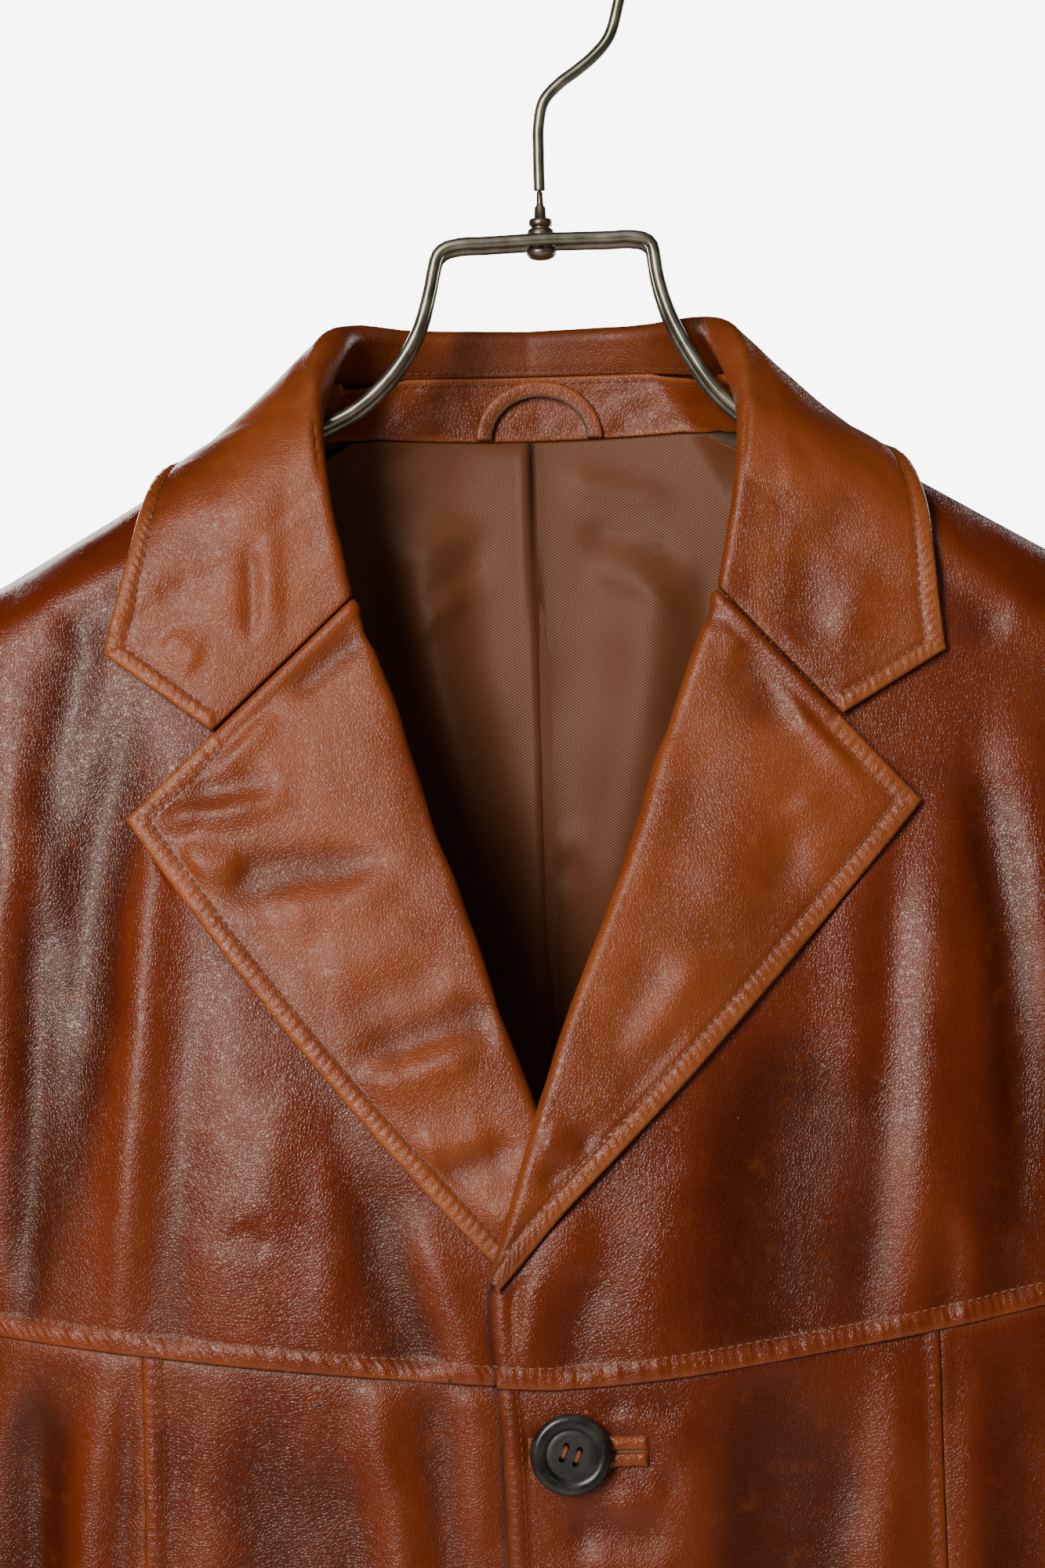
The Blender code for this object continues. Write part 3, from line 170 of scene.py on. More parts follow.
# Buttons
BUTTON_X = 3.9
BUTTON_Z = {"button_top": -482.0, "button_middle": -598.0, "button_bottom": -714.0}
BUTTON_GAP, BUTTON_TURN = 0.4, 20.0
BUTTON_HOLE_RADIUS, BUTTON_HOLE_SPREAD = 1.05, 2.1
BUTTON_SHARP = 38.0  # degrees between faces, over which an edge is sharp
BUTTON_PROFILE = ((0.0, 2.75), (5.6, 2.75), (6.9, 2.75), (7.15, 2.6), (7.35, 2.6), (7.6, 2.85), (8.2, 3.45),
                  (8.8, 3.85), (9.5, 4.15), (10.3, 4.25), (11.0, 4.1), (11.7, 3.7), (12.2, 3.1),
                  (12.4, 2.5), (12.35, 1.9), (12.0, 1.2), (10.9, 0.5), (9.6, 0.1), (8.6, 0.0), (0.0, 0.0))

# Hanger
HOOK_RADIUS, HOOK_WIRE = 26.0, 1.9
HOOK_ANGLES = (-17.0, 186.0)  # degrees of its round part, from the shaft to the tip
HOOK_SHAFT = ((-1.7, -90.0), (-1.7, -78.0), (-1.4, -69.0), (0.4, -61.6), (5.5, -56.0), (11.1, -52.0),
              (16.7, -47.5), (21.1, -42.6))
FRAME_WIRE = 2.0
FRAME_BAR_HALF_DEPTH, FRAME_NECK_HALF_DEPTH = 6.9, 8.4
WIRE_SET = 1.9
NECK_WIRE = {
    LEFT: ((0.0, -106.6), (10.0, -106.6), (20.0, -106.6), (28.5, -106.6), (31.8, -107.4), (33.7, -109.4),
           (34.3, -112.5), (35.0, -118.0), (37.8, -128.8), (44.9, -143.9), (53.8, -157.0), (61.8, -164.2)),
    RIGHT: ((0.0, -106.6), (-10.0, -107.0), (-20.0, -107.4), (-29.0, -107.8), (-32.8, -108.9),
            (-34.9, -111.0), (-36.0, -114.5), (-37.6, -121.8), (-42.5, -136.7), (-52.9, -151.4),
            (-63.1, -159.9), (-71.0, -163.9)),
}
WIRE_ON_SHOULDER = (82.0, 104.0, 126.0, 146.0, 167.0, 188.0)
WIRE_SPREAD_X, WIRE_SPREAD = (82.0, 115.0, 165.0, 188.0), (10.0, 12.0, 11.0, 8.5)
WIRE_END_X = 199.0
SWIVEL_X = -1.7
SWIVEL_PROFILE = ((0.0, -90.3), (0.7, -90.35), (1.0, -90.8), (1.1, -94.0), (1.25, -95.0), (1.8, -95.6),
                  (1.9, -99.0), (3.3, -99.25), (3.75, -99.8), (3.9, -100.5), (3.8, -101.2), (3.3, -101.7),
                  (2.9, -102.0), (3.9, -102.7), (4.4, -103.6), (4.5, -106.0), (4.5, -109.0), (4.9, -109.3),
                  (5.0, -109.8), (4.9, -110.4), (4.6, -111.0), (3.6, -111.8), (2.4, -112.2), (0.0, -112.5))

# Sewing: distances from an edge to its topstitch, and the thread
YOKE_STITCH, SEAM_STITCH, COLLAR_STITCH, EDGE_STITCH = 6.8, {LEFT: 4.2, RIGHT: 6.0}, 6.2, 6.0
NECK_STITCH, CUFF_STITCH, HEM_STITCH = 2.4, 22.0, 25.0
STITCH_PITCH, STITCH_LENGTH, STITCH_ARCH, STITCH_SIDES = 2.9, 2.15, 0.16, 6
THREAD_RADIUS = 0.27
PUCKER_PITCH = 6.8
UNDER_COLLAR_X, UNDER_COLLAR_SLOPE = 125.0, 0.556
FREE_LAPEL = {LEFT: 37.0, RIGHT: 38.8}  # from the lapel's point to the notch
FREE_COLLAR = {LEFT: 38.7, RIGHT: 41.8}  # from the collar's point to the notch
HOLE_START_X, HOLE_END_X, HOLE_HALF, HOLE_WALL = -9.0, 27.5, 4.9, 0.6  # a bound buttonhole under its button

# Creases that are listed one by one, each as its half width and height, which is below nought for a trough,
# and then x and z of its points
YOKE_CREASES = {
    RIGHT: (
        (7.5, 2.2, -112, -199, -137, -213, -156, -222, -172, -232, -190, -246),
        (8.8, -1.7, -117, -214, -136, -223, -153, -232),
        (12, -4.2, -125, -236, -132, -272, -140, -305, -144, -348, -149, -383, -154, -478),
        (10, -3, -139, -215, -145, -248, -153, -276, -160, -312),
        (10, 2.5, -159, -252, -165, -300, -171, -371, -172, -440),
        (7.5, 3.1, -111, -266, -121, -313, -126, -371, -129, -405, -138, -480),
        (18.8, 1.4, -87, -321, -95, -373, -94, -421, -92, -480),
        (8.8, -1.4, -108, -313, -111, -372, -117, -430, -118, -480),
        (11.2, -2.9, -58, -383, -54, -418, -45, -446, -40, -484),
        (7.5, 2.2, -42, -405, -33, -436, -28, -449, -25, -485),
        (10, 1.2, -76, -364, -84, -392, -86, -421),
        (7.5, 1.2, -72, -383, -65, -412, -71, -440, -70, -475),
        (5, -0.8, -96, -411, -92, -416, -84, -418),
        (6.2, -0.7, -67, -374, -62, -393, -65, -412),
        (11.2, -2.2, -186, -300, -184, -360, -180, -430),
        (8, -4.0, -157, -290, -161, -370, -163, -462),
        (7.5, 1.5, -176, -268, -188, -300, -190, -340),
    ),
    LEFT: (
        (7.5, 2, 108, -193, 125, -203, 138, -217, 153, -229, 170, -241, 190, -252),
        (7.5, -1.4, 118, -209, 135, -227, 149, -239),
        (10, 2, 103, -259, 97, -297, 95, -329, 95, -359, 91, -390),
        (12.5, 3.7, 124, -275, 121, -319, 117, -354, 115, -382, 111, -413, 105, -480),
        (8.8, -2.2, 109, -293, 107, -331, 105, -359, 103, -394, 95, -440, 92, -478),
        (20, -3.6, 82, -347, 74, -377, 65, -406, 66, -439, 67, -485),
        (8.8, 1.9, 11, -405, 2, -422, -9, -444, -12, -470),
        (11.2, 1.5, 49, -386, 35, -414, 29, -443, 28, -480),
        (7.5, -1.4, 17, -423, 7, -442, 5, -470),
        (8.8, -3.9, 134, -262, 140, -303, 144, -332, 145, -379, 143, -430),
        (11.2, 2.5, 144, -251, 153, -284, 155, -332, 158, -380),
        (7.5, 1.5, 129, -379, 126, -407, 127, -436, 127, -478),
        (5, -1.2, 122, -410, 120, -440, 119, -475),
        (12.5, -2.2, 140, -391, 139, -436, 138, -478),
        (11.2, -2, 172, -300, 176, -360, 170, -440),
        (8.8, 1.5, 176, -262, 186, -300, 188, -350),
    ),
}
PANEL_CREASES = {
    RIGHT: (
        (7.5, 2.7, -52, -440, -54, -481, -49, -504, -48, -541, -52, -640),
        (15, -2.8, -88, -440, -88, -492, -88, -516, -89, -611, -92, -760),
        (11.2, 1.5, -104, -450, -108, -506, -109, -539, -108, -620, -112, -720),
        (7.5, -1.9, -39, -440, -37, -482, -35, -505, -36, -565, -38, -640),
        (6.2, 1.4, -28, -445, -25, -482, -25, -520),
        (6.2, -1, -115, -448, -117, -491, -119, -539, -121, -600),
        (8.8, -1.4, -64, -450, -67, -493, -64, -517, -65, -588, -70, -660),
        (12.5, 2, -60, -620, -66, -720, -70, -840, -74, -930),
        (11.2, -1.7, -36, -660, -40, -780, -42, -900),
        (11.2, -1.9, -98, -700, -102, -800, -108, -920),
        (7.5, 0.8, -30, -590, -50, -600, -72, -596),
        (7.5, 0.8, -28, -706, -46, -718, -66, -716),
    ),
    LEFT: (
        (8.8, 2.5, 106, -440, 102, -485, 97, -521, 94, -592, 92, -700),
        (10, -1.4, 91, -440, 86, -492, 83, -520, 80, -592, 78, -660),
        (18, -4.4, 68, -436, 66, -491, 65, -520, 65, -600, 64, -720),
        (11.2, 1.5, 40, -469, 41, -496, 39, -531, 37, -591),
        (5, 1.7, 34, -491, 24, -497, 12, -500),
        (7.5, -1.5, 38, -512, 18, -508, -4, -504),
        (5, -1, 37, -486, 30, -494, 20, -497),
        (8.8, 1.9, 4, -516, 20, -516, 36, -524),
        (6.2, 1.2, 14, -469, 28, -474, 44, -480),
        (5, -0.8, 8, -465, 26, -469, 42, -472),
        (6.2, 1.3, 30, -600, 48, -604, 66, -612),
        (6.2, -0.9, 30, -594, 48, -590, 64, -592),
        (6.2, 1.2, 28, -716, 46, -722, 66, -732),
        (6.2, -0.9, 28, -709, 44, -704, 60, -702),
        (12.5, 2, 84, -640, 90, -740, 94, -860, 98, -935),
        (13.8, -2, 48, -740, 52, -820, 54, -930),
        (11.2, 1.5, 14, -760, 18, -840, 22, -930),
    ),
}
SIDE_CREASES = {
    RIGHT: (
        (8.4, 2.7, -134, -440, -141, -484, -144, -515, -147, -600, -150, -720),
        (7.2, -1.9, -125, -445, -131, -484, -135, -515, -136, -586, -138, -660),
        (12, -2.5, -154, -435, -157, -478, -160, -514, -162, -600, -168, -720),
        (8, -4.0, -161, -452, -164, -520, -168, -640),
        (9.6, 2.2, -180, -470, -186, -540, -190, -640, -196, -760),
        (10.8, 1.9, -150, -740, -156, -840, -160, -930),
        (12, -2, -178, -700, -184, -820, -190, -930),
    ),
    LEFT: (
        (9.6, 1.9, 127, -440, 126, -486, 124, -522, 122, -593, 124, -680),
        (10.8, -2.2, 139, -440, 138, -486, 137, -522, 135, -593, 138, -700),
        (4.8, -1, 121, -445, 118, -486, 117, -540),
        (10.8, 2.4, 158, -450, 162, -520, 166, -620, 172, -760),
        (9.6, -2, 184, -480, 190, -580, 196, -700),
        (12, 1.9, 146, -700, 152, -820, 156, -930),
        (10.8, -1.9, 180, -740, 188, -840, 194, -930),
    ),
}
LAPEL_CREASES = {
    RIGHT: (
        (5.4, -1.9, -47, -228, -66, -240, -80, -252),
        (4.8, 0.8, -81, -254, -92, -266, -105, -279),
        (4.8, 1.9, -121, -289, -107, -287, -96, -286, -74, -282),
        (6, -1.2, -114, -282, -95, -280, -79, -277),
        (7.2, -2.3, -106, -314, -85, -306, -67, -305, -42, -301),
        (6, 1.5, -113, -296, -102, -302, -90, -305),
        (8.4, 1.2, -86, -317, -65, -314, -40, -311),
        (8.4, -1.1, -41, -250, -34, -282, -31, -310),
        (7.2, -2.2, -62, -363, -42, -358, -24, -352, -12, -347),
        (7.2, 1.9, -59, -372, -38, -365, -17, -357),
        (6, 1.5, -44, -392, -29, -390, -12, -386),
        (6, -1.6, -40, -399, -24, -394, -7, -389),
        (9.6, 0.8, -73, -334, -53, -329, -30, -324),
        (7.2, -0.8, -66, -349, -47, -343, -27, -336),
        (4.8, 0.8, -22, -414, -12, -410, 0, -406),
    ),
    LEFT: (
        (7.2, 2.3, 60, -224, 65, -230, 71, -236),
        (4.8, -0.9, 52, -233, 57, -228, 60, -222),
        (4.2, 1.5, 68, -235, 77, -246, 83, -262, 92, -274, 101, -286),
        (7.2, -1.2, 61, -239, 71, -253, 78, -268),
        (6, 0.9, 79, -283, 83, -294, 82, -310),
        (14.4, 1.4, 72, -256, 64, -282, 58, -305, 48, -328),
        (7.2, -1.1, 90, -291, 76, -304, 70, -320),
        (9.6, -1.1, 36, -327, 27, -350, 18, -374),
        (4.8, 1.2, -4, -387, 3, -390, 11, -395),
        (6, -1.5, 15, -383, 6, -394, -4, -406),
        (6, 0.9, 51, -331, 37, -348, 22, -364),
        (4.8, -0.7, 44, -352, 32, -366, 20, -378),
        (7.2, 0.8, 40, -262, 36, -290, 26, -318),
    ),
}
COLLAR_CREASES = (
    (3.1, -1.1, -89, -202, -88, -218, -89, -236),
    (7.2, 0.8, -83, -196, -81, -211, -83, -230),
    (7.2, 0.5, -94, -202, -97, -216, -96, -232),
    (6, 1, -69, -213, -64, -207, -60, -199),
    (4.8, -0.7, -72, -194, -69, -200, -66, -208),
    (4.2, -0.6, -118, -221, -112, -216, -106, -216),
    (5.4, 1.1, -115, -229, -110, -236, -103, -240),
    (8.4, -0.6, -101, -190, -103, -206, -100, -222),
    (9.6, 0.5, -98, -180, -90, -192, -87, -206),
    (8.4, -1.4, 90, -203, 83, -218, 85, -230, 91, -245),
    (7.2, 0.9, 104, -214, 99, -228, 96, -239),
    (9.6, 0.7, 73, -194, 76, -211, 72, -227),
    (7.2, -0.7, 101, -188, 96, -199, 93, -211),
    (6, 0.6, 66, -181, 73, -187, 77, -196),
)
COLLAR_BACK_CREASES = (
    (6, -1.4, -88, -178, -70, -170, -48, -176),
    (6, 1.2, -60, -150, -44, -168, -40, -190),
    (7, -1.2, -18, -146, -10, -166, -14, -188),
    (6, 1.2, 20, -148, 24, -168, 18, -190),
    (6, -1.3, 50, -160, 62, -172, 84, -182),
)
BACK_CREASES = (
    (12, -4.0, -150, -232, -138, -290, -120, -350, -108, -430),
    (9, 3.2, -166, -270, -156, -340, -150, -430),
    (12, 2.0, -110, -240, -92, -300, -86, -380),
    (12, -3.8, 150, -232, 140, -300, 122, -360, 112, -440),
    (9, 3.2, 168, -272, 158, -350, 154, -440),
    (12, 2.0, 104, -236, 90, -310, 84, -400),
    (7, -2.0, -60, -206, -20, -216, 24, -214, 62, -204),
    (8, 1.6, -48, -226, 0, -234, 50, -228),
    (14, -2.4, -40, -300, -34, -420, -38, -560),
    (14, -2.2, 30, -290, 38, -400, 34, -540),
    (14, 1.8, -6, -280, 0, -420, -4, -600),
    (9, 2.2, -170, -500, -176, -600, -180, -720),
    (9, 2.2, 172, -500, 178, -620, 184, -740),
    (7, -1.4, -96, -520, -70, -534, -46, -530),
    (7, -1.3, 58, -610, 86, -622, 112, -616),
)
# Sleeve creases run round the arm: x is counted from its outer side towards the front, by ROUND_ARM
SLEEVE_CREASES = (
    (6, -1.0, -50, -252, 0, -256, 52, -254),
    (8, -2.6, 10, -300, 46, -318, 80, -360),
    (7, 2.2, 24, -286, 64, -322, 100, -380),
    (9, -2.6, -16, -300, -50, -326, -88, -370),
    (8, -2.6, 70, -420, 110, -446, 150, -470),
    (7, 2.0, 60, -440, 100, -474, 140, -500),
    (8, -2.4, -70, -420, -112, -450, -150, -472),
    (7, 1.8, 20, -560, 80, -584, 150, -580),
    (6, -2.0, 30, -600, 90, -628, 160, -616),
    (6, 2.2, 40, -636, 96, -650, 170, -642),
    (7, -1.6, 30, -672, 90, -684, 150, -668),
    (8, -2.0, -20, -640, -70, -662, -130, -650),
    (8, 1.8, -30, -600, -80, -614, -140, -604),
    (8, 1.4, 60, -760, 110, -784, 160, -780),
    (8, -1.4, -50, -770, -90, -800, -140, -806),
    (7, -1.2, 14, -800, 50, -824, 90, -818),
)
LINING_CREASES = (
    (11, 6.0, -30, -186, -34, -226, -24, -280, -12, -350),
    (3.4, 2.0, -12, -196, -28, -199, -46, -207, -60, -215),
    (3.2, -1.6, -10, -206, -26, -212, -40, -222),
    (3.6, 1.8, -20, -216, -34, -224, -46, -238),
    (8, -2.0, -48, -196, -54, -214, -58, -240),
    (3.4, 1.6, 8, -180, 26, -184, 52, -190),
    (3.6, -1.6, 12, -198, 32, -200, 54, -210),
    (3.4, 1.6, 16, -210, 34, -214, 50, -228),
    (15, 5.0, 34, -190, 38, -240, 26, -300, 16, -350),
    (8, -1.8, 56, -206, 54, -240, 44, -280),
    (2.4, 1.4, 4, -304, 9, -299, 15, -296),
    (2.2, -1.0, 4, -312, 10, -309, 17, -308),
    (14, 3.0, 60, -300, 54, -420, 60, -560),
    (14, 3.0, -70, -320, -62, -460, -70, -620),
    (14, -2.2, 30, -460, 34, -600, 28, -760),
    (14, 3.0, -30, -470, -36, -620, -30, -780),
)
PLEAT = ((-166.0, -1.1), (-240.0, 0.5), (-330.0, 1.8), (-950.0, 3.0))  # the pleat's folded edge, (z, x)
PLEAT_STEP, PLEAT_FADE = 2.0, 26.0

# Scuffs and specks on the leather, as x, z, radius and strength
SCUFFS = ((-32, -460, 1.1, 0.9), (-25, -463, 0.9, 0.7), (-2, -458, 1.2, 0.6), (-88, -462, 1.0, 0.9),
          (-83, -464, 0.8, 0.7), (-90, -469, 0.9, 0.6), (-72, -467, 1.3, 0.8), (58, -383, 0.8, -0.9),
          (74, -428, 1.6, -0.6), (56, -444, 0.8, -0.8), (-120, -520, 2.2, 0.5), (92, -560, 1.6, 0.5),
          (-60, -600, 1.8, 0.6), (140, -640, 1.5, -0.6), (-150, -700, 2.0, 0.5), (40, -820, 2.4, 0.5),
          (-80, -880, 2.6, 0.6), (120, -900, 2.2, 0.6), (-30, -930, 2.4, 0.7), (170, -780, 1.8, -0.5))

# Studio: lights as name, place, target, size, watts and colour, in metres
AMBIENT, AMBIENT_COLOUR = 0.03, (0.80, 0.80, 0.80, 1.0)
BACKDROP, BACKDROP_COLOUR = 7.5, (0.985, 1.0, 0.97, 1.0)
LIGHTS = (
    ("key", (-0.76, -1.58, 0.26), (0.0, 0.0, -0.4), (0.45, 1.2), 36.5, (1.0, 0.95, 0.90)),
    ("top", (-0.1, -0.9, 1.2), (0.0, 0.0, -0.4), (1.0, 0.6), 2.0, (1.0, 0.98, 0.96)),
    ("fill", (1.0, -1.5, 0.5), (0.0, 0.0, -0.5), (0.3, 0.9), 1.0, (1.0, 0.97, 0.95)),
    ("rear_left", (-0.9, 1.8, -0.1), (0.0, 0.0, -0.5), (0.8, 1.4), 46.0, (1.0, 0.96, 0.92)),
    ("rear_right", (1.2, 1.6, -0.1), (0.0, 0.0, -0.5), (0.7, 1.4), 24.0, (1.0, 0.97, 0.95)),
)
FLOOR_Z, FLOOR_HALF = -1.35, 3.0
CAMERA_PLACE, CAMERA_TURN, CAMERA_ROLL = (-0.0121, -1.182, -0.280), 90.0, 1.5
CAMERA_LENS, CAMERA_SENSOR = 84.7, 36.0

# How finely the shells are meshed
EDGE_STEPS = (0.0, 0.12, 0.4, 0.9)  # millimetres from a border, where the wall rounds off
INNER_EVERY = 4  # the hidden side has one row and column in four
LATTICE = 64  # random heights along each side of what wobble() reads
BACK_UPPER, CAP_PART = 0.42, 0.44  # shares of the rows over the armpit, and in the sleeve's cap
ROUND_ARM = 0.9  # millimetres round an arm for each degree
# Counts of rows and of columns on the hidden side, each with about the length that it covers
GRIDS = {
    "yoke": ((66, 310.0), (40, 180.0)),
    "panel": ((60, 480.0), (22, 140.0)),
    "side": ((56, 480.0), (20, 110.0)),
    "back": ((60, 790.0), (58, 460.0)),
    "sleeve": ((44, 640.0), (30, 360.0)),  # round the arm in degrees
    "lapel": ((40, 215.0), (22, 80.0)),
    "collar": ((110, 560.0), (22, 80.0)),
    "facing": ((6, 20.0), (22, 140.0)),
    "lining": ((56, 750.0), (44, 400.0)),
    "hole": ((7, 10.0), (12, 36.0)),
}

# Materials with the slots that they fill, and the ways that a shell's outer side can face
BODY_LEATHER, COLLAR_LEATHER = ("leather_body", "leather"), ("leather_collar", "collar_leather")
LINING = ("lining_twill", "lining")
FORWARDS, BACKWARDS = (0, -1, 0), (0, 1, 0)
MATERIALS = {}


def hand_over(piece, node=None):
    """Puts a piece on the coat's one body, in place of the solid that it stands for."""
    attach(piece, "root")
    if node:
        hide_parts(node)


def placed(name, data, material_name=None):
    """A new object in the scene from its data, with its material."""
    if material_name:
        data.materials.append(MATERIALS[material_name])
    made = bpy.data.objects.new(name, data)
    bpy.context.scene.collection.objects.link(made)
    return made


def smoothstep(t):
    t = np.clip(t, 0.0, 1.0)
    return t * t * (3.0 - 2.0 * t)


def below(z, start, run):
    """From 0 over a height to 1 at this run under it."""
    return smoothstep((start - z) / run)


def bell(distance, half):
    return np.exp(-((distance / half) ** 2))


def through(knots, values, at):
    """A smooth curve through the values, read at any place between the knots."""
    knots, values = np.asarray(knots, float), np.asarray(values, float)
    at = np.clip(at, knots[0], knots[-1])
    slopes = np.gradient(values, knots, axis=0)
    i = np.clip(np.searchsorted(knots, at, side="right") - 1, 0, len(knots) - 2)
    step = knots[i + 1] - knots[i]
    t = (at - knots[i]) / step
    if values.ndim > 1:
        t, step = t[..., None], step[..., None]
    start = (2 * t**3 - 3 * t**2 + 1) * values[i] + (t**3 - 2 * t**2 + t) * step * slopes[i]
    end = (3 * t**2 - 2 * t**3) * values[i + 1] + (t**3 - t**2) * step * slopes[i + 1]
    return start + end


def joined(*parts):
    """Points, or other rows of numbers, from their parts."""
    return np.stack(parts, axis=-1)


def run_along(line):
    """Distances of a line's points from its first one."""
    return np.concatenate([[0.0], np.cumsum(np.linalg.norm(np.diff(line, axis=0), axis=1))])


def read_line(at, run, line):
    """Places on a line, at distances along it."""
    return joined(*(np.interp(at, run, part) for part in line.T))


def between(low, high, share):
    return low + (high - low) * share


def unit(vectors):
    return vectors / np.maximum(np.linalg.norm(vectors, axis=-1, keepdims=True), 1e-9)


def down_line(points, z):
    """x of a line that is given by (z, x) points read downwards."""
    heights, places = np.array(points).T
    return through(-heights, places, -np.asarray(z, float))


def shoulder_line(x):
    return SHOULDER_POINT[1] - SHOULDER_SLOPE * (np.abs(x) - SHOULDER_POINT[0])


def ridge(x):
    return shoulder_line(x) + NECK_RISE * np.maximum(NECK_HALF - np.abs(x), 0.0)


def shoulder_rounding(below):
    t = 1.0 - np.clip(below / SHOULDER_ROUND, 0.0, 1.0)
    return np.sqrt(1.0 - t * t)


def chest(z):
    return below(z, TOP_Z, CHEST_RUN)


def depth(x, z, back):
    if not back:
        return FRONT_DEPTH[0] + FRONT_DEPTH[1] * chest(z)
    behind_neck = NECK_DEPTH * bell(x, NECK_DEPTH_HALF) * (1.0 - below(z, TOP_Z, NECK_DEPTH_RUN))
    return BACK_DEPTH[0] + BACK_DEPTH[1] * chest(z) + behind_neck


def armhole_x(z):
    return through(ARMHOLE_SHARES, ARMHOLE_X, (ARMHOLE_TIP_Z - z) / (ARMHOLE_TIP_Z - ARMPIT[1]))


def armhole_depth(z, back):
    share = np.clip((ARMHOLE_TIP_Z - z) / (ARMHOLE_TIP_Z - ARMPIT[1]), 0.0, 1.0)
    return (ARMHOLE_BACK if back else ARMHOLE_FRONT) * np.sqrt(1.0 - (2.0 * share - 1.0) ** 2)


def armhole_z(degrees):
    share = (1.0 - np.cos(np.radians(degrees))) / 2.0
    return between(ARMHOLE_TIP_Z, ARMPIT[1], share)


def half_width(z, back):
    """Below the armpit a plain flare; above it, what puts the armhole on the surface."""
    z = np.asarray(z, float)
    share = np.clip((ARMPIT[1] - z) / (ARMPIT[1] - HEM_Z), 0.0, 1.0)
    low = ARMPIT[0] + HEM_FLARE * share**1.3
    held = np.clip(z, ARMPIT[1], ARMHOLE_TIP_Z - 2.5)
    x = armhole_x(held)
    full = depth(x, held, back) * shoulder_rounding(ridge(x) - held)
    ratio = np.clip(armhole_depth(held, back) / full, 0.0, 0.98)
    return np.where(z > ARMPIT[1], x / (1.0 - ratio**ROUNDNESS) ** (1.0 / ROUNDNESS), low)


def folds(x, z, back):
    down = np.clip((ARMPIT[1] - z) / (ARMPIT[1] - HEM_Z), 0.0, 1.0)
    relief = 0.0 * x
    for hem_x, half, height in BACK_FOLDS if back else FRONT_FOLDS:
        line = hem_x * (FOLD_TOP_X + (1.0 - FOLD_TOP_X) * down)
        relief = relief + height * smoothstep(down * 1.15) * bell(x - line, half)
    return relief


def half_depth(x, z, back):
    """Distance of the body's outer face from the plane of the side seams."""
    z = np.broadcast_to(z, np.shape(x)).astype(float)
    share = np.clip(np.abs(x) / half_width(z, back), 0.0, 1.0)
    around = (1.0 - share**ROUNDNESS) ** (1.0 / ROUNDNESS)
    return (depth(x, z, back) * shoulder_rounding(ridge(x) - z) + folds(x, z, back)) * around


def overlap_lift(x, z):
    amount = between(*OVERLAP_LIFT, below(z, *OVERLAP_THIN))
    inwards = smoothstep((OVERLAP_END_X - x) / (OVERLAP_END_X - OVERLAP_FULL_X))
    return amount * inwards * below(z, *OVERLAP_START)


def front_y(x, z, side):
    lift = overlap_lift(x, z) if side == LEFT else 0.0
    return -half_depth(x, z, False) - lift


def girth_table():
    """Shares of the half girth, and the shares of the half width where they fall."""
    angles = np.linspace(0.0, math.pi / 2.0, 400)
    across, deep = np.sin(angles) ** (2.0 / ROUNDNESS), np.cos(angles) ** (2.0 / ROUNDNESS)
    steps = np.hypot(np.diff(across) * ARMPIT[0], np.diff(deep) * sum(FRONT_DEPTH))
    length = np.concatenate(([0.0], np.cumsum(steps)))
    return length / length[-1], across


GIRTH, ACROSS = girth_table()


def width_share(of_girth):
    return np.interp(of_girth, GIRTH, ACROSS)


def girth_share(of_width):
    return np.interp(of_width, ACROSS, GIRTH)


def front_edge_x(z, side):
    """x of the front's own edge: the neck, then the roll line, then the straight edge to the hem."""
    z = np.asarray(z, float)
    neck = side * down_line(NECK_EDGE, z)
    roll_end = ROLL_LINE[side][-1][0]
    roll = down_line(ROLL_LINE[side], z) + side * ROLL_SET
    straight = down_line(FRONT_EDGE[side], z)
    to_straight = smoothstep((roll_end - 1.0 - z) / 9.0)
    below_neck = below(z, -215.0, 8.0)
    return between(neck, between(roll, straight, to_straight), below_neck)


def yoke_seam_z(x, side):
    return YOKE_MID_Z + YOKE_RISE[side] * (np.abs(x) / YOKE_HALF) ** YOKE_CURVE[side]


def side_seam_x(z, side):
    grown = half_width(z, False) / half_width(ARMPIT[1], False)
    return SIDE_SEAM_X[side] * np.where(z < ARMPIT[1], grown, 1.0)


def back_top_z(x):
    neck = NECK_BACK_Z - NECK_DROP * (np.abs(x) / NECK_HALF) ** NECK_CURVE
    return np.where(np.abs(x) < NECK_HALF, neck, shoulder_line(x))


def inside_back(x, z, off):
    """Points this far inside the back's outer face, straight through its wall."""
    step = 0.5
    y = half_depth(x, z, True)
    slope_x = (half_depth(x + step, z, True) - half_depth(x - step, z, True)) / (2.0 * step)
    slope_z = (half_depth(x, z + step, True) - half_depth(x, z - step, True)) / (2.0 * step)
    normal = unit(joined(-slope_x, np.ones_like(y), -slope_z))
    return joined(x, y, z) - off * normal


def facing_foot_z(x):
    return FACING_LOW_Z + FACING_LOW_RISE * (x / NECK_HALF) ** 2


def clear_of_body(points, lift, side):
    """Points moved out until they lie this far over the body."""
    x, y, z = np.moveaxis(points, -1, 0)
    back = y > 0.0
    over = overlap_lift(x, z) if side == LEFT else 0.0
    centre = ridge(x) - SHOULDER_ROUND
    level = np.minimum(z, centre)
    reach = np.where(back, half_depth(x, level, True), half_depth(x, level, False) + over) + lift
    size = np.hypot(y / reach, np.maximum(z - centre, 0.0) / (SHOULDER_ROUND + lift))
    grow = 1.0 / np.clip(size, 0.05, 1.0)
    near_ridge = z > centre
    y_out = np.where(near_ridge, y * grow, np.where(np.abs(y) < reach, np.sign(y) * reach, y))
    z_out = np.where(near_ridge, centre + (z - centre) * grow, z)
    return joined(x, y_out, z_out)


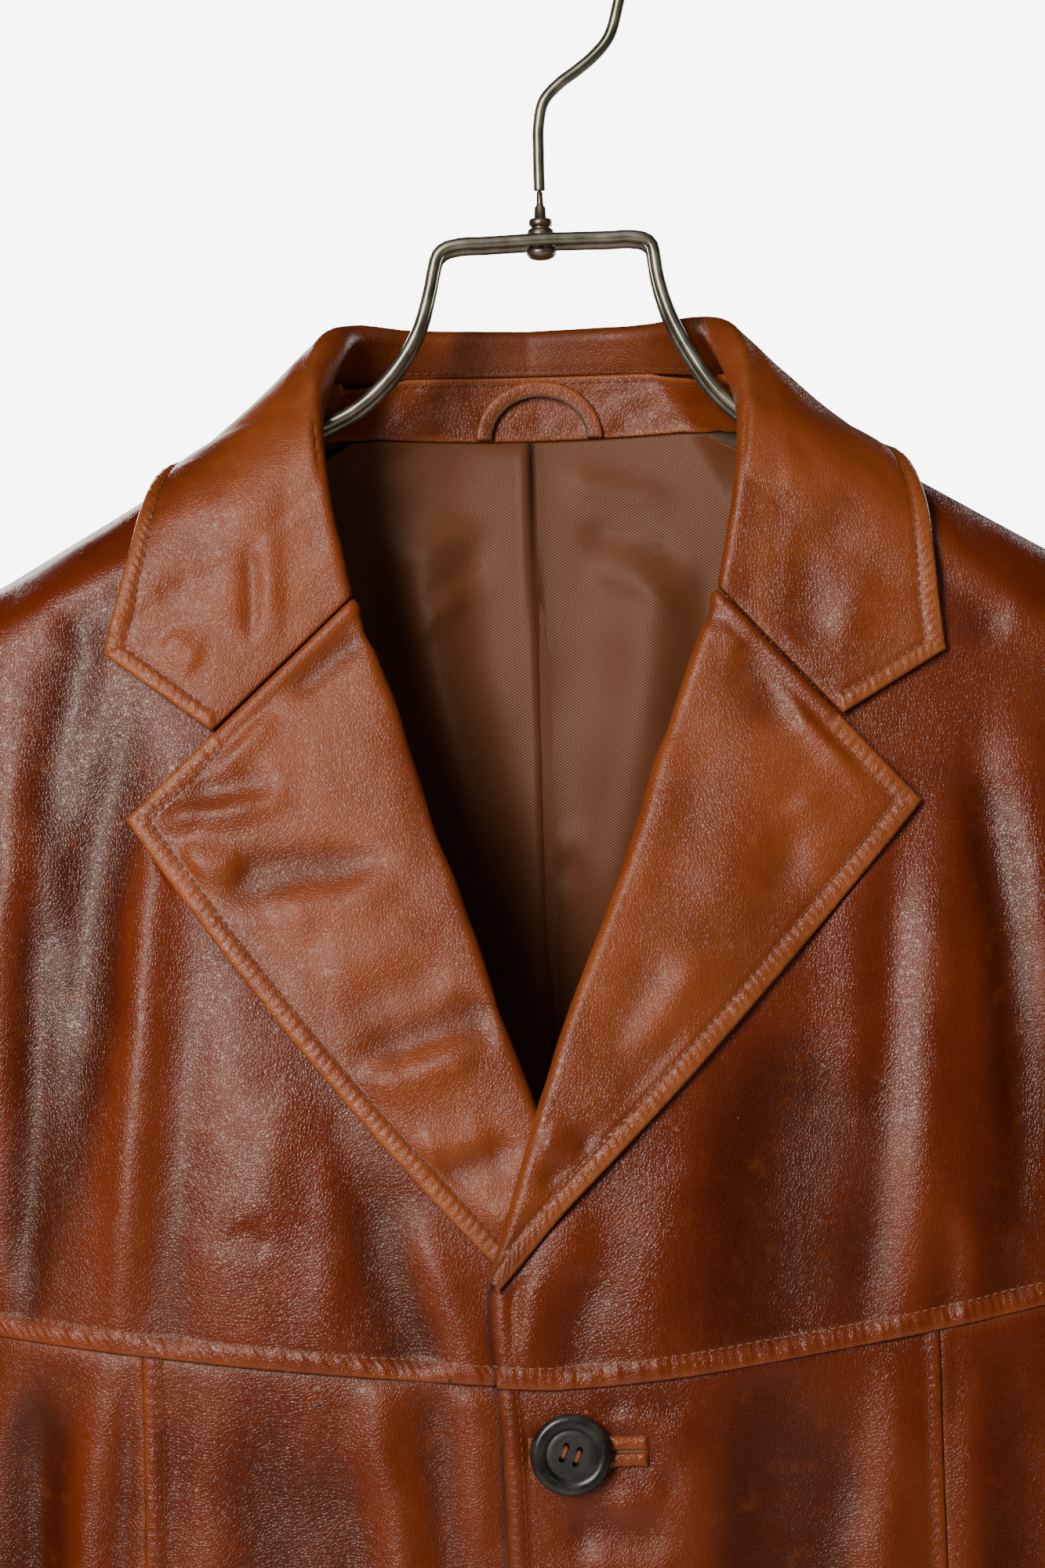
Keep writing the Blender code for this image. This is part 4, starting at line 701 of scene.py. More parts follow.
def spread(count, length):
    """Shares from 0 to 1 for an outer grid's rows or columns: close together where a wall rounds off."""
    ends = np.array(EDGE_STEPS) / length
    step = (EDGE_STEPS[-1] + 0.8) / length
    middle = np.linspace(step, 1.0 - step, count * INNER_EVERY + 1 - 2 * len(ends))
    return np.concatenate([ends, middle, 1.0 - ends[::-1]])


def rows_of(piece):
    return spread(*GRIDS[piece][0])


def columns_of(piece):
    return spread(*GRIDS[piece][1])


def travelled(points, axis):
    """Distances along rows or columns, from the first border and from the last."""
    steps = np.linalg.norm(np.diff(points, axis=axis), axis=2)
    start = np.zeros_like(points[..., 0])
    if axis == 0:
        start[1:] = np.cumsum(steps, axis=0)
        return start, start[-1:] - start
    start[:, 1:] = np.cumsum(steps, axis=1)
    return start, start[:, -1:] - start


def stroke(across, along, path, half, height, fade=0.3):
    """A soft ridge or trough along a path on a surface; it fades and narrows towards both its ends."""
    path = np.array(path, float)
    knots = np.linspace(0.0, 1.0, len(path))
    fine = np.linspace(0.0, 1.0, 6 * len(path))
    line = through(knots, path, fine)
    best = np.full(np.shape(across), 1e9)
    place = np.zeros(np.shape(across))
    for k in range(len(line) - 1):
        run = line[k + 1] - line[k]
        t = ((across - line[k, 0]) * run[0] + (along - line[k, 1]) * run[1]) / max(run @ run, 1e-9)
        t = np.clip(t, 0.0, 1.0)
        far = np.hypot(across - line[k, 0] - t * run[0], along - line[k, 1] - t * run[1])
        nearer = far < best
        best = np.where(nearer, far, best)
        place = np.where(nearer, fine[k] + t * (fine[k + 1] - fine[k]), place)
    ends = smoothstep(place / fade) * smoothstep((1.0 - place) / fade)
    return height * ends * bell(best, half * (0.55 + 0.45 * ends))


def strokes(across, along, table):
    relief = np.zeros(np.shape(across))
    for half, height, *path in table:
        relief += stroke(across, along, np.reshape(path, (-1, 2)), half, height)
    return relief


def wobble(across, along, size, seed):
    """Smooth irregular heights from -1 to 1, with bumps about this many millimetres across."""
    rng = np.random.default_rng(seed)
    lattice = rng.uniform(-1.0, 1.0, (LATTICE, LATTICE))
    u, v = across / size + 17.3, along / size + 9.1
    i, j = np.floor(u).astype(int), np.floor(v).astype(int)
    s, t = smoothstep(u - i), smoothstep(v - j)

    def row(number):
        number = number % LATTICE
        return lattice[i % LATTICE, number] * (1 - s) + lattice[(i + 1) % LATTICE, number] * s

    return row(j) * (1 - t) + row(j + 1) * t


def ripples(along, pitch, seed):
    """Narrow puckers along a seam, from 0 to 1, unevenly spaced and of uneven height."""
    shifted = along + 1.6 * wobble(along, 0.0 * along, 13.0, seed)
    narrow = bell(np.mod(shifted, pitch) - pitch / 2.0, 1.25)
    uneven = 0.45 + 0.55 * wobble(along, 0.0 * along + 40.0, 9.0, seed + 1)
    return narrow * np.clip(uneven, 0.0, 1.0)


def lapped(distance, inset, lift, puckers=0.0):
    """A seam's upper layer: raised from its edge to the topstitch, which pulls it down in a narrow groove."""
    band = smoothstep((inset - distance) / 2.2 + 0.5)
    groove = 0.42 * bell(distance - inset, 0.85)
    swell = 0.45 * bell(distance - 0.42 * inset, 0.36 * inset)
    window = smoothstep(distance / 1.2) * smoothstep((inset - distance) / 1.5)
    return lift * band + swell - groove + puckers * window


def soft_limit(height, least):
    """Heights that flatten out smoothly as they come down to the least one."""
    return np.where(height < 0.0, least * np.tanh(height / least), height)


def under_lapel(x, z, side):
    """How far inside the lapel's outline a point of the front lies, in millimetres."""
    notch, point, end = (np.array(place[side]) for place in (NOTCH, LAPEL_POINT, LAPEL_END))
    chord, free = unit(end - point), unit(point - notch)
    along = ((x - point[0]) * chord[0] + (z - point[1]) * chord[1]) / np.linalg.norm(end - point)
    out = side * ((z - point[1]) * chord[0] - (x - point[0]) * chord[1])
    bulge = LAPEL_BULGE[side] * 4.0 * np.clip(along * (1.0 - along), 0.0, 1.0)
    from_notch = side * ((x - notch[0]) * free[1] - (z - notch[1]) * free[0])
    return np.minimum(bulge - out, from_notch)


def under_collar(x, z):
    """How far inside the collar's outline a point of a front lies, in millimetres."""
    notch_x, notch_z = NOTCH[LEFT]
    notch_line = notch_z + UNDER_COLLAR_SLOPE * (np.abs(x) - notch_x)
    return np.minimum(UNDER_COLLAR_X - np.abs(x), z - notch_line)


def held_down(height, covered, most):
    """Heights kept low where another layer covers them."""
    share = smoothstep(covered / 5.0 + 0.4)
    return height * (1.0 - share) + np.minimum(height, most) * share


def creased(shell, table, seed, fine):
    """A front's creases, with soft bumps over them."""
    x, z = shell.x, shell.z
    bumps = 0.45 * wobble(x, z, 26.0, seed) + fine * wobble(x, z, 9.0, seed + 4)
    return strokes(x, z, table) + bumps


def away_from_seams(shell, least):
    """From this share at the sewn borders and the hem to 1 inside them; the top border is left out."""
    edge = np.minimum(shell.end, np.minimum(shell.start, shell.up))
    return least + (1.0 - least) * smoothstep(edge / 9.0)


def scuffed(x, z):
    amount = np.zeros(np.shape(x))
    for mark_x, mark_z, radius, strength in SCUFFS:
        amount += strength * bell(np.hypot(x - mark_x, 0.8 * (z - mark_z)), radius)
    return amount


def mesh_object(name, points, quads, triangles, material_name, floats=()):
    """A smooth mesh from points in the hook's frame, in millimetres, with named values for its points."""
    corners = np.concatenate([np.ravel(quads), np.ravel(triangles)]).astype(np.int32)
    sizes = np.concatenate([np.full(len(quads), 4), np.full(len(triangles), 3)])
    starts = np.concatenate([[0], np.cumsum(sizes)[:-1]]).astype(np.int32)
    data = bpy.data.meshes.new(name)
    data.vertices.add(len(points))
    data.vertices.foreach_set("co", np.ravel(points * METRES))
    data.loops.add(len(corners))
    data.loops.foreach_set("vertex_index", corners)
    data.polygons.add(len(sizes))
    data.polygons.foreach_set("loop_start", starts)
    data.update(calc_edges=True)
    data.validate()
    data.shade_smooth()
    for title, values in floats:
        layer = data.attributes.new(title, "FLOAT", "POINT")
        layer.data.foreach_set("value", np.ravel(values).astype(np.float32))
    return placed(name, data, material_name)


def grid_quads(index, closed):
    """Quads over a grid of point numbers, in the turn that faces columns x rows."""
    right = np.roll(index, -1, axis=1) if closed else index[:, 1:]
    left = index if closed else index[:, :-1]
    return joined(left[:-1], right[:-1], right[1:], left[1:]).reshape(-1, 4)


def ladder(outer, inner):
    """Triangles between two borders, where the outer one has INNER_EVERY steps for each step of the inner."""
    steps, half = len(inner) - 1, INNER_EVERY // 2
    made = []
    for i in range(steps):
        first = i * INNER_EVERY
        for j in range(INNER_EVERY):
            made.append((outer[first + j + 1], outer[first + j], inner[i if j < half else i + 1]))
        made.append((inner[i], inner[i + 1], outer[first + half]))
    return made


class Shell:
    """A wall of leather or cloth: a fine outer surface with its relief, and a coarser inner one.

    outwards points to the side that shows, and look is a material with its slot. With middle, the points
    are the wall's middle. sink is the most that the hidden side follows a trough, where the piece lies on
    another.
    """

    def __init__(self, node, base, wall, outwards, look, relief, wear=None, closed=False, middle=False,
                 sink=9.0, name=None):
        if closed:
            base = base[:, :-1]
        self.closed = closed
        self.face(base, outwards)
        self.measure(base + self.normals * wall / 2.0 if middle else base)
        height = relief(self)
        radius = 0.45 * wall
        near = np.clip(1.0 - self.border / radius, 0.0, 1.0)
        rounding = radius * (1.0 - np.sqrt(1.0 - near**2))
        self.outer = self.base + self.normals * (height - rounding)[..., None]
        under = np.maximum(height, -sink) - wall + rounding
        inner = (self.base + self.normals * under[..., None])[::INNER_EVERY, ::INNER_EVERY]
        quads, triangles = self.corners(inner)
        points = np.concatenate([self.outer.reshape(-1, 3), inner.reshape(-1, 3)]) + (COAT_X, 0.0, 0.0)
        hidden = np.zeros(inner[..., 0].size)
        # The shade value holds painted shade and painted shadow, which the materials mix in as near-black.
        shown = (("wear", wear(self) if wear else 0.5 * bell(self.border, 1.6)), ("height", height),
                 ("scuff", scuffed(self.x, self.z)), ("pinch", self.pinch), ("along", self.along * METRES),
                 ("shade", self.shade))
        floats = [(title, np.concatenate([values.ravel(), hidden])) for title, values in shown]
        floats.append(("inside", np.concatenate([np.zeros(height.size), hidden + 1.0])))
        piece = mesh_object(name or "shell_" + node, points, quads, triangles, look[0], floats)
        hand_over(piece, node)

    def face(self, base, outwards):
        """Normals of the base, all on the side that shows."""
        wide = np.concatenate([base[:, -2:], base, base[:, :2]], axis=1) if self.closed else base
        along_columns = np.gradient(wide, axis=1)
        if self.closed:
            along_columns = along_columns[:, 2:-2]
        normals = unit(np.cross(along_columns, np.gradient(base, axis=0)))
        self.turn = np.sign((normals * outwards).sum())
        self.normals = normals * self.turn

    def measure(self, base):
        """The base's coordinates and the distances from its borders."""
        self.base = base
        self.x, self.y, self.z = np.moveaxis(base, -1, 0)
        self.down, self.up = travelled(base, 0)
        self.start, self.end = travelled(base, 1)
        self.border = np.minimum(self.down, self.up)
        if not self.closed:
            self.border = np.minimum(self.border, np.minimum(self.start, self.end))
        self.pinch, self.along, self.shade = (np.zeros(self.x.shape) for _ in range(3))

    def corners(self, inner):
        """Point numbers of the quads of both surfaces, and of the triangles that join them at the borders."""
        outer_shape, inner_shape = self.outer.shape[:2], inner.shape[:2]
        outer_count = outer_shape[0] * outer_shape[1]
        outer_index = np.arange(outer_count).reshape(outer_shape)
        inner_index = outer_count + np.arange(inner_shape[0] * inner_shape[1]).reshape(inner_shape)
        inner_quads = grid_quads(inner_index, self.closed)[:, ::-1]
        quads = np.concatenate([grid_quads(outer_index, self.closed), inner_quads])
        triangles = []
        for outer_side, inner_side in zip(loops(outer_index, self.closed), loops(inner_index, self.closed)):
            triangles += ladder(outer_side, inner_side)
        triangles = np.array(triangles)
        if self.turn < 0:
            return quads[:, ::-1], triangles[:, ::-1]
        return quads, triangles

    def lap(self, distance, inset, lift, along, puckers=0.0, where=1.0):
        """A seam's upper layer: raised up to its topstitch, which pinches it at every stitch."""
        pinch = where * bell(distance - 0.62 * inset, 0.42 * inset)
        stronger = pinch > self.pinch
        self.pinch = np.where(stronger, pinch, self.pinch)
        self.along = np.where(stronger, along, self.along)
        return where * lapped(distance, inset, lift, puckers)

    def at(self, row, column):
        """Points and normals of the outer surface at fractional rows and columns."""
        rows, columns = self.outer.shape[:2]
        row = np.clip(row, 0.0, rows - 1.001)
        column = np.clip(column, 0.0, columns - 1.001)
        i, j = row.astype(int), column.astype(int)
        s, t = (row - i)[:, None], (column - j)[:, None]

        def read(field):
            upper = field[i, j] * (1 - t) + field[i, j + 1] * t
            lower = field[i + 1, j] * (1 - t) + field[i + 1, j + 1] * t
            return upper * (1 - s) + lower * s

        return read(self.outer), unit(read(self.normals))

    def downwards(self, inset, keep=None, from_end=False):
        """A line from the first row to the last, this far from the first or the last column.

        keep tells, from the line's points, which of them are sewn.
        """
        field = self.end if from_end else self.start
        order = -1 if from_end else 1
        numbers = np.arange(field.shape[1], dtype=float)[::order]
        columns = np.array([np.interp(inset, line[::order], numbers) for line in field])
        return kept(self.at(np.arange(field.shape[0], dtype=float), columns), keep)

    def crosswise(self, inset, keep=None, from_end=False):
        """A line from the first column to the last, this far from the first or the last row."""
        field = self.up if from_end else self.down
        order = -1 if from_end else 1
        numbers = np.arange(field.shape[0], dtype=float)[::order]
        rows = np.array([np.interp(inset, line[::order], numbers) for line in field.T])
        return kept(self.at(rows, np.arange(field.shape[1], dtype=float)), keep)


def loops(index, closed):
    """The borders of a grid of point numbers, each in the turn that faces columns x rows."""
    if closed:
        top, foot = np.append(index[0], index[0, 0]), np.append(index[-1], index[-1, 0])
        return top, foot[::-1]
    return index[0], index[:, -1], index[-1, ::-1], index[::-1, 0]


def kept(line, keep):
    points, normals = line
    if keep is None:
        return points, normals
    chosen = keep(*points.T)
    return points[chosen], normals[chosen]


def fill(tree, socket, value):
    """Links a socket to another, or gives it a number or a colour; a colour may leave out its last value."""
    if isinstance(value, bpy.types.NodeSocket):
        tree.links.new(value, socket)
    elif socket.type == "RGBA" and len(value) == 3:
        socket.default_value = (*value, 1.0)
    else:
        socket.default_value = value


def put(tree, kind, inputs=None, **settings):
    """A new node with its settings and inputs."""
    made = tree.nodes.new("ShaderNode" + kind)
    for title, value in settings.items():
        setattr(made, title, value)
    for title, value in (inputs or {}).items():
        fill(tree, made.inputs[title], value)
    return made


class Look:
    """A material, with short names for the nodes that it is made of."""

    def __init__(self, name, roughness, metallic=0.0):
        made = bpy.data.materials.new(name)
        made.use_nodes = True
        self.tree = made.node_tree
        self.shader = self.tree.nodes["Principled BSDF"]
        self.give("Roughness", roughness)
        self.give("Metallic", metallic)
        self.place = self.put("TexCoord").outputs["Object"]
        MATERIALS[name] = made

    def give(self, title, value):
        fill(self.tree, self.shader.inputs[title], value)

    def put(self, kind, inputs=None, **settings):
        return put(self.tree, kind, inputs, **settings)

    def maths(self, operation, first, second=0.0):
        return self.put("Math", {0: first, 1: second}, operation=operation).outputs[0]

    def times(self, first, second):
        return self.maths("MULTIPLY", first, second)

    def plus(self, first, second):
        return self.maths("ADD", first, second)

    def vectors(self, operation, *parts):
        return self.put("VectorMath", dict(enumerate(parts)), operation=operation)

    def ranged(self, value, low, high, to_low=0.0, to_high=1.0):
        """A value read between low and high, smoothly clamped to the two ends."""
        inputs = {"Value": value, "From Min": low, "From Max": high, "To Min": to_low, "To Max": to_high}
        return self.put("MapRange", inputs, interpolation_type="SMOOTHSTEP").outputs[0]

    def mixed(self, share, first, second):
        return self.put("Mix", {0: share, 6: first, 7: second}, data_type="RGBA").outputs[2]

    def noise(self, scale, detail, stretch=(1.0, 1.0, 1.0), seed=0.0):
        """Noise over the object, with this many bumps to the metre."""
        inputs = {"Vector": self.place, "Scale": stretch, "Location": (seed, 0.0, 0.0)}
        moved = self.put("Mapping", inputs).outputs[0]
        return self.put("TexNoise", {"Vector": moved, "Scale": scale, "Detail": detail}).outputs["Fac"]

    def value_of(self, title):
        return self.put("Attribute", attribute_name=title).outputs["Fac"]

    def bumped(self, *steps):
        """Joins bumps of rising fineness into the normal: each is a height, a strength and metres."""
        inputs = {}
        for height, strength, metres in steps:
            inputs.update({"Height": height, "Strength": strength, "Distance": metres})
            inputs["Normal"] = self.put("Bump", inputs).outputs[0]
        self.give("Normal", inputs["Normal"])


def shaded(colour, share):
    return tuple(share * value for value in colour)


def leather_tone(look, patches, scratch, colour, deep, worn):
    """Painted shade, darker and redder, in its hollows; rubbed lighter at edges and welts; painted shade near
    seams and edges; and suede on the inside.
    """
    flecks = look.noise(150.0, 5.0, seed=3.0)
    tone = look.mixed(look.ranged(patches, 0.34, 0.64), deep, colour)
    # Painted shade: darker and redder in the relief's hollows, read from the height value.
    tone = look.mixed(look.ranged(look.value_of("height"), -3.0, 1.2, 0.95, 0.0), tone, shaded(deep, 0.5))
    lighter = tuple(0.65 * a + 0.35 * b for a, b in zip(colour, worn))
    tone = look.mixed(look.ranged(flecks, 0.52, 0.8, 0.0, 0.3), tone, lighter)
    rubbed = look.times(look.value_of("wear"), look.ranged(flecks, 0.3, 0.62, 0.45, 1.0))
    tone = look.mixed(rubbed, tone, worn)
    tone = look.mixed(look.times(scratch, 0.35), tone, worn)
    scuff = look.times(look.value_of("scuff"), flecks)
    tone = look.mixed(look.ranged(scuff, 0.18, 0.42), tone, shaded(colour, 0.16))
    tone = look.mixed(look.ranged(look.times(scuff, -1.0), 0.2, 0.45), tone, (0.4, 0.3, 0.26))
    # Painted shade: near-black where the shade value is set, along seams, edges, slits and inside the neck.
    tone = look.mixed(look.times(look.value_of("shade"), 0.85), tone, (0.012, 0.004, 0.002))
    suede = look.mixed(look.ranged(flecks, 0.3, 0.7), (0.10, 0.055, 0.03), (0.17, 0.10, 0.055))
    return look.mixed(look.value_of("inside"), tone, suede)


def leather_gloss(look, patches, roughness):
    """Duller on the inside and where shade is painted."""
    gloss = look.ranged(patches, 0.3, 0.7, roughness - 0.04, roughness + 0.06)
    for title in ("inside", "shade"):
        gloss = look.plus(gloss, look.ranged(look.value_of(title), 0.0, 1.0, 0.0, 0.4))
    return gloss


def scratches(look):
    """Fine level scratches that come in patches."""
    hair = look.noise(60.0, 2.0, stretch=(1.0, 1.0, 9.0), seed=11.0)
    return look.times(look.ranged(hair, 0.735, 0.76), look.ranged(look.noise(9.0, 2.0, seed=21.0), 0.5, 0.6))


def pebbles(look):
    """Cells about a millimetre across, with wandering borders."""
    wander = look.put("TexNoise", {"Vector": look.place, "Scale": 420.0, "Detail": 1.0}).outputs["Color"]
    shift = look.vectors("MULTIPLY", wander, (0.0011, 0.0011, 0.0011)).outputs[0]
    bent = look.vectors("ADD", look.place, shift).outputs[0]
    cells = look.put("TexVoronoi", {"Vector": bent, "Scale": 1000.0}, feature="DISTANCE_TO_EDGE").outputs[0]
    return look.ranged(cells, 0.0, 0.3)


def stitch_pinches(look):
    """Small gathers along a seam, one for each stitch."""
    turns = look.times(look.value_of("along"), 2.0 * math.pi / (STITCH_PITCH * METRES))
    uneven = look.times(look.noise(200.0, 2.0, seed=31.0), 4.0)
    return look.times(look.maths("SINE", look.plus(turns, uneven)), look.value_of("pinch"))


def leather(name, colour, deep, worn, roughness):
    """Pebbled, semi-gloss leather."""
    look = Look(name, roughness)
    patches = look.noise(17.0, 4.0)
    scratch = scratches(look)
    look.give("Base Color", leather_tone(look, patches, scratch, colour, deep, worn))
    look.give("Roughness", leather_gloss(look, patches, roughness))
    look.give("Specular Tint", (1.0, 0.89, 0.83))
    look.give("Coat Weight", 0.05)
    look.give("Coat Roughness", 0.3)
    swell, ripple = look.noise(70.0, 2.0, seed=8.0), look.noise(480.0, 3.0, seed=5.0)
    look.bumped((swell, 0.32, 0.0008), (stitch_pinches(look), 0.36, 0.0002), (ripple, 0.36, 0.0003),
                (pebbles(look), 0.46, 0.00017), (scratch, -0.25, 0.0001))


def twill(name):
    """Brown lining: fine slanted ribs with a painted highlight along them, a faint silk sheen, and painted
    shade.
    """
    look = Look(name, 0.42)
    ribs = look.put("Mapping", {"Vector": look.place, "Rotation": (0.0, math.radians(33.0), 0.0)}).outputs[0]
    inputs = {"Vector": ribs, "Scale": 390.0, "Distortion": 0.6, "Detail": 1.0, "Detail Scale": 2.0}
    wave = look.put("TexWave", inputs, bands_direction="Z").outputs["Fac"]
    tone = look.mixed(look.noise(14.0, 3.0), (0.112, 0.036, 0.0145), (0.155, 0.051, 0.0205))
    # Painted highlight: each rib drawn lighter.
    tone = look.mixed(look.ranged(wave, 0.2, 0.8, 0.0, 0.35), tone, (0.26, 0.10, 0.044))
    # Painted shade where the shade value is set, as along the pleat.
    tone = look.mixed(look.value_of("shade"), tone, (0.014, 0.006, 0.004))
    look.give("Base Color", tone)
    look.give("Specular IOR Level", 0.3)
    look.give("Specular Tint", (1.0, 0.85, 0.75))
    look.bumped((look.noise(900.0, 2.0, stretch=(1.0, 1.0, 0.3)), 0.25, 0.0001), (wave, 0.5, 0.00015))


def thread_look(name, low, high, roughness=0.6, fineness=1600.0, bump=(0.4, 0.0001)):
    look = Look(name, roughness)
    twist = look.noise(fineness, 2.0)
    look.give("Base Color", look.mixed(twist, low, high))
    look.bumped((twist, *bump))


def button_horn():
    """Dark horn with streaks: duller and browner inside the rim."""
    look = Look("button_horn", 0.2)
    streaks = look.ranged(look.noise(120.0, 5.0, stretch=(1.0, 1.0, 2.6)), 0.35, 0.75)
    rubs = look.noise(900.0, 3.0)
    flat = look.vectors("MULTIPLY", look.place, (1.0, 1.0, 0.0)).outputs[0]
    radius = look.vectors("LENGTH", flat).outputs["Value"]
    rim_tone = look.mixed(streaks, (0.011, 0.010, 0.008), (0.045, 0.040, 0.033))
    middle_tone = look.mixed(streaks, (0.019, 0.018, 0.016), (0.045, 0.042, 0.038))
    look.give("Base Color", look.mixed(look.ranged(radius, 0.0070, 0.0080), middle_tone, rim_tone))
    dull = look.ranged(radius, 0.0070, 0.0080, 0.16, 0.0)
    look.give("Roughness", look.plus(dull, look.ranged(rubs, 0.3, 0.75, 0.24, 0.36)))
    look.bumped((rubs, 0.08, 0.00006))


def stained_metal(name, low, high):
    look = Look(name, 0.32, metallic=0.9)
    stain = look.noise(130.0, 4.0)
    look.give("Base Color", look.mixed(look.ranged(stain, 0.35, 0.68), low, high))
    look.give("Roughness", look.ranged(stain, 0.3, 0.7, 0.28, 0.38))
    look.bumped((stain, 0.04, 0.0001))


def floor_paint():
    """Pale to the camera and plain to all other rays, so that the floor has no shadow."""
    look = Look("floor_paint", 0.8)
    tone = look.mixed(look.noise(2.0, 2.0), (0.72, 0.71, 0.69), (0.76, 0.75, 0.73))
    look.give("Base Color", tone)
    look.give("Emission Color", tone)
    look.give("Emission Strength", look.put("LightPath").outputs["Is Camera Ray"])


def materials():
    leather("leather_body", colour=(0.18, 0.026, 0.0026), deep=(0.135, 0.0165, 0.0015),
            worn=(0.38, 0.09, 0.018), roughness=0.325)
    leather("leather_collar", colour=(0.27, 0.055, 0.0095), deep=(0.18, 0.031, 0.0048),
            worn=(0.42, 0.125, 0.035), roughness=0.36)
    twill("lining_twill")
    thread_look("thread_golden", (0.15, 0.055, 0.014), (0.40, 0.18, 0.055))
    thread_look("thread_brown", (0.09, 0.026, 0.006), (0.22, 0.075, 0.02))
    thread_look("thread_rust", (0.16, 0.035, 0.012), (0.42, 0.12, 0.04), 0.65, 1500.0, (0.5, 0.00012))
    button_horn()
    stained_metal("hanger_pewter", (0.22, 0.208, 0.152), (0.37, 0.348, 0.265))
    stained_metal("hanger_copper", (0.17, 0.12, 0.09), (0.33, 0.27, 0.205))
    floor_paint()


def front_edge_turned(start, along_z):
    """The left front's edge, turned under in a round; the sewing draws it in more, just under the lapels."""
    above = below(along_z, -425.0, 10.0)
    drawn = above * (1.0 - below(along_z, -440.0, 22.0))
    turned_under = -1.5 * np.clip(1.0 - start / 3.4, 0.0, 1.0) ** 2
    return above * (turned_under + 0.5 * bell(start - 3.4, 1.8)) - 1.3 * drawn * bell(start - 7.6, 2.2)


def yoke_relief(shell, side):
    x, z = shell.x, shell.z
    height = creased(shell, YOKE_CREASES[side], 3 + side, 0.18)
    height = held_down(height, under_lapel(x, z, side), 0.3)
    height = held_down(height, under_collar(x, z), 0.3)
    height *= 0.25 + 0.75 * smoothstep(shell.border / 9.0)
    pucker = 0.9 * ripples(x, PUCKER_PITCH, 31 + side) * smoothstep((shell.end - 3.0) / 8.0)
    height += shell.lap(shell.up, YOKE_STITCH, 0.6, shell.start, pucker)
    if side == LEFT:
        height += front_edge_turned(shell.start, z) * smoothstep((shell.up - 1.0) / 3.0)
        # Painted shade along the left front's edge, below the overlap.
        shell.shade += 0.3 * below(z, OVERLAP_Z, 8.0) * bell(shell.start, 3.0)
    else:
        # Painted shade on the right front along the left front's edge.
        shell.shade += overlap_shade(x, z)
    shoulder = bell(shell.down - 1.5, 2.5) * smoothstep((np.abs(x) - 70.0) / 6.0)
    return height + 0.5 * shoulder


def overlap_shade(x, z):
    """Painted shade on the right front, close along the left front's edge that lies on it."""
    outside = down_line(FRONT_EDGE[LEFT], z) - x
    close = smoothstep((outside + 3.0) / 2.0) * bell(np.maximum(outside, 0.0), 0.9)
    return below(z, OVERLAP_Z, 4.0) * close


def yoke_wear(shell):
    welt = smoothstep((YOKE_STITCH + 0.5 - shell.up) / 1.5)
    tip = bell(shell.start - 2.0, 2.5) * bell(shell.z + 430.0, 12.0) * (shell.x < 0.0)
    return 0.16 * welt + 0.3 * bell(shell.up - 0.8, 1.0) + 0.25 * bell(shell.down, 3.0) + 0.3 * tip


def yoke_points(side):
    """Rows from the shoulder seam down to the yoke seam, each from the front edge out to the armhole."""
    rows_z = np.array(YOKE_ROW_Z)
    angles = np.array(YOKE_ROW_ANGLE)
    angles[-1] *= YOKE_ANGLE[side]
    inner_z = between(rows_z[0], rows_z[-1], rows_of("yoke"))
    outer_z = armhole_z(np.interp(-inner_z, -rows_z, angles))
    inner_x, outer_x = front_edge_x(inner_z, side), side * armhole_x(outer_z)
    top_in, top_out = shoulder_line(inner_x), shoulder_line(outer_x)
    down_in = (top_in - inner_z) / (top_in - yoke_seam_z(inner_x, side))
    down_out = (top_out - outer_z) / (top_out - outer_z[-1])
    across = columns_of("yoke")
    x = between(inner_x[:, None], outer_x[:, None], across)
    down = between(down_in[:, None], down_out[:, None], across)
    z = shoulder_line(x) - down * (shoulder_line(x) - yoke_seam_z(x, side))
    y = np.minimum(front_y(x, z, side), -SEWN_EACH)
    z[-1] += SEWN_EACH
    return joined(x, y, z)


def front_yoke(side, word):
    made = Shell("front_yoke_" + word, yoke_points(side), LEATHER, FORWARDS, BODY_LEATHER,
                 lambda shell: yoke_relief(shell, side), yoke_wear)
    lines = [made.crosswise(YOKE_STITCH, from_end=True)]
    if side == LEFT:
        lines.append(made.downwards(EDGE_STITCH + 1.0, lambda x, y, z: (z < -436.0) & (z > -455.0)))
    sew("stitches_yoke_" + word, lines, thread="thread_golden")


def button_clear(x, z):
    """From 0 under a button to 1 away from it."""
    clear = np.ones(np.shape(x))
    for button_z in BUTTON_Z.values():
        clear *= smoothstep((np.hypot(x - BUTTON_X, z - button_z) - 11.0) / 6.0)
    return clear


def hole_frame(x, z):
    """The sunken window round each bound buttonhole, from 0 to 1."""
    frame_depth = np.zeros(np.shape(x))
    for button_z in BUTTON_Z.values():
        across = np.maximum(HOLE_START_X - x, x - HOLE_END_X)
        away = np.maximum(across, np.abs(z - button_z) - HOLE_HALF)
        frame_depth = np.maximum(frame_depth, bell(np.maximum(away, 0.0), 1.3))
    return frame_depth


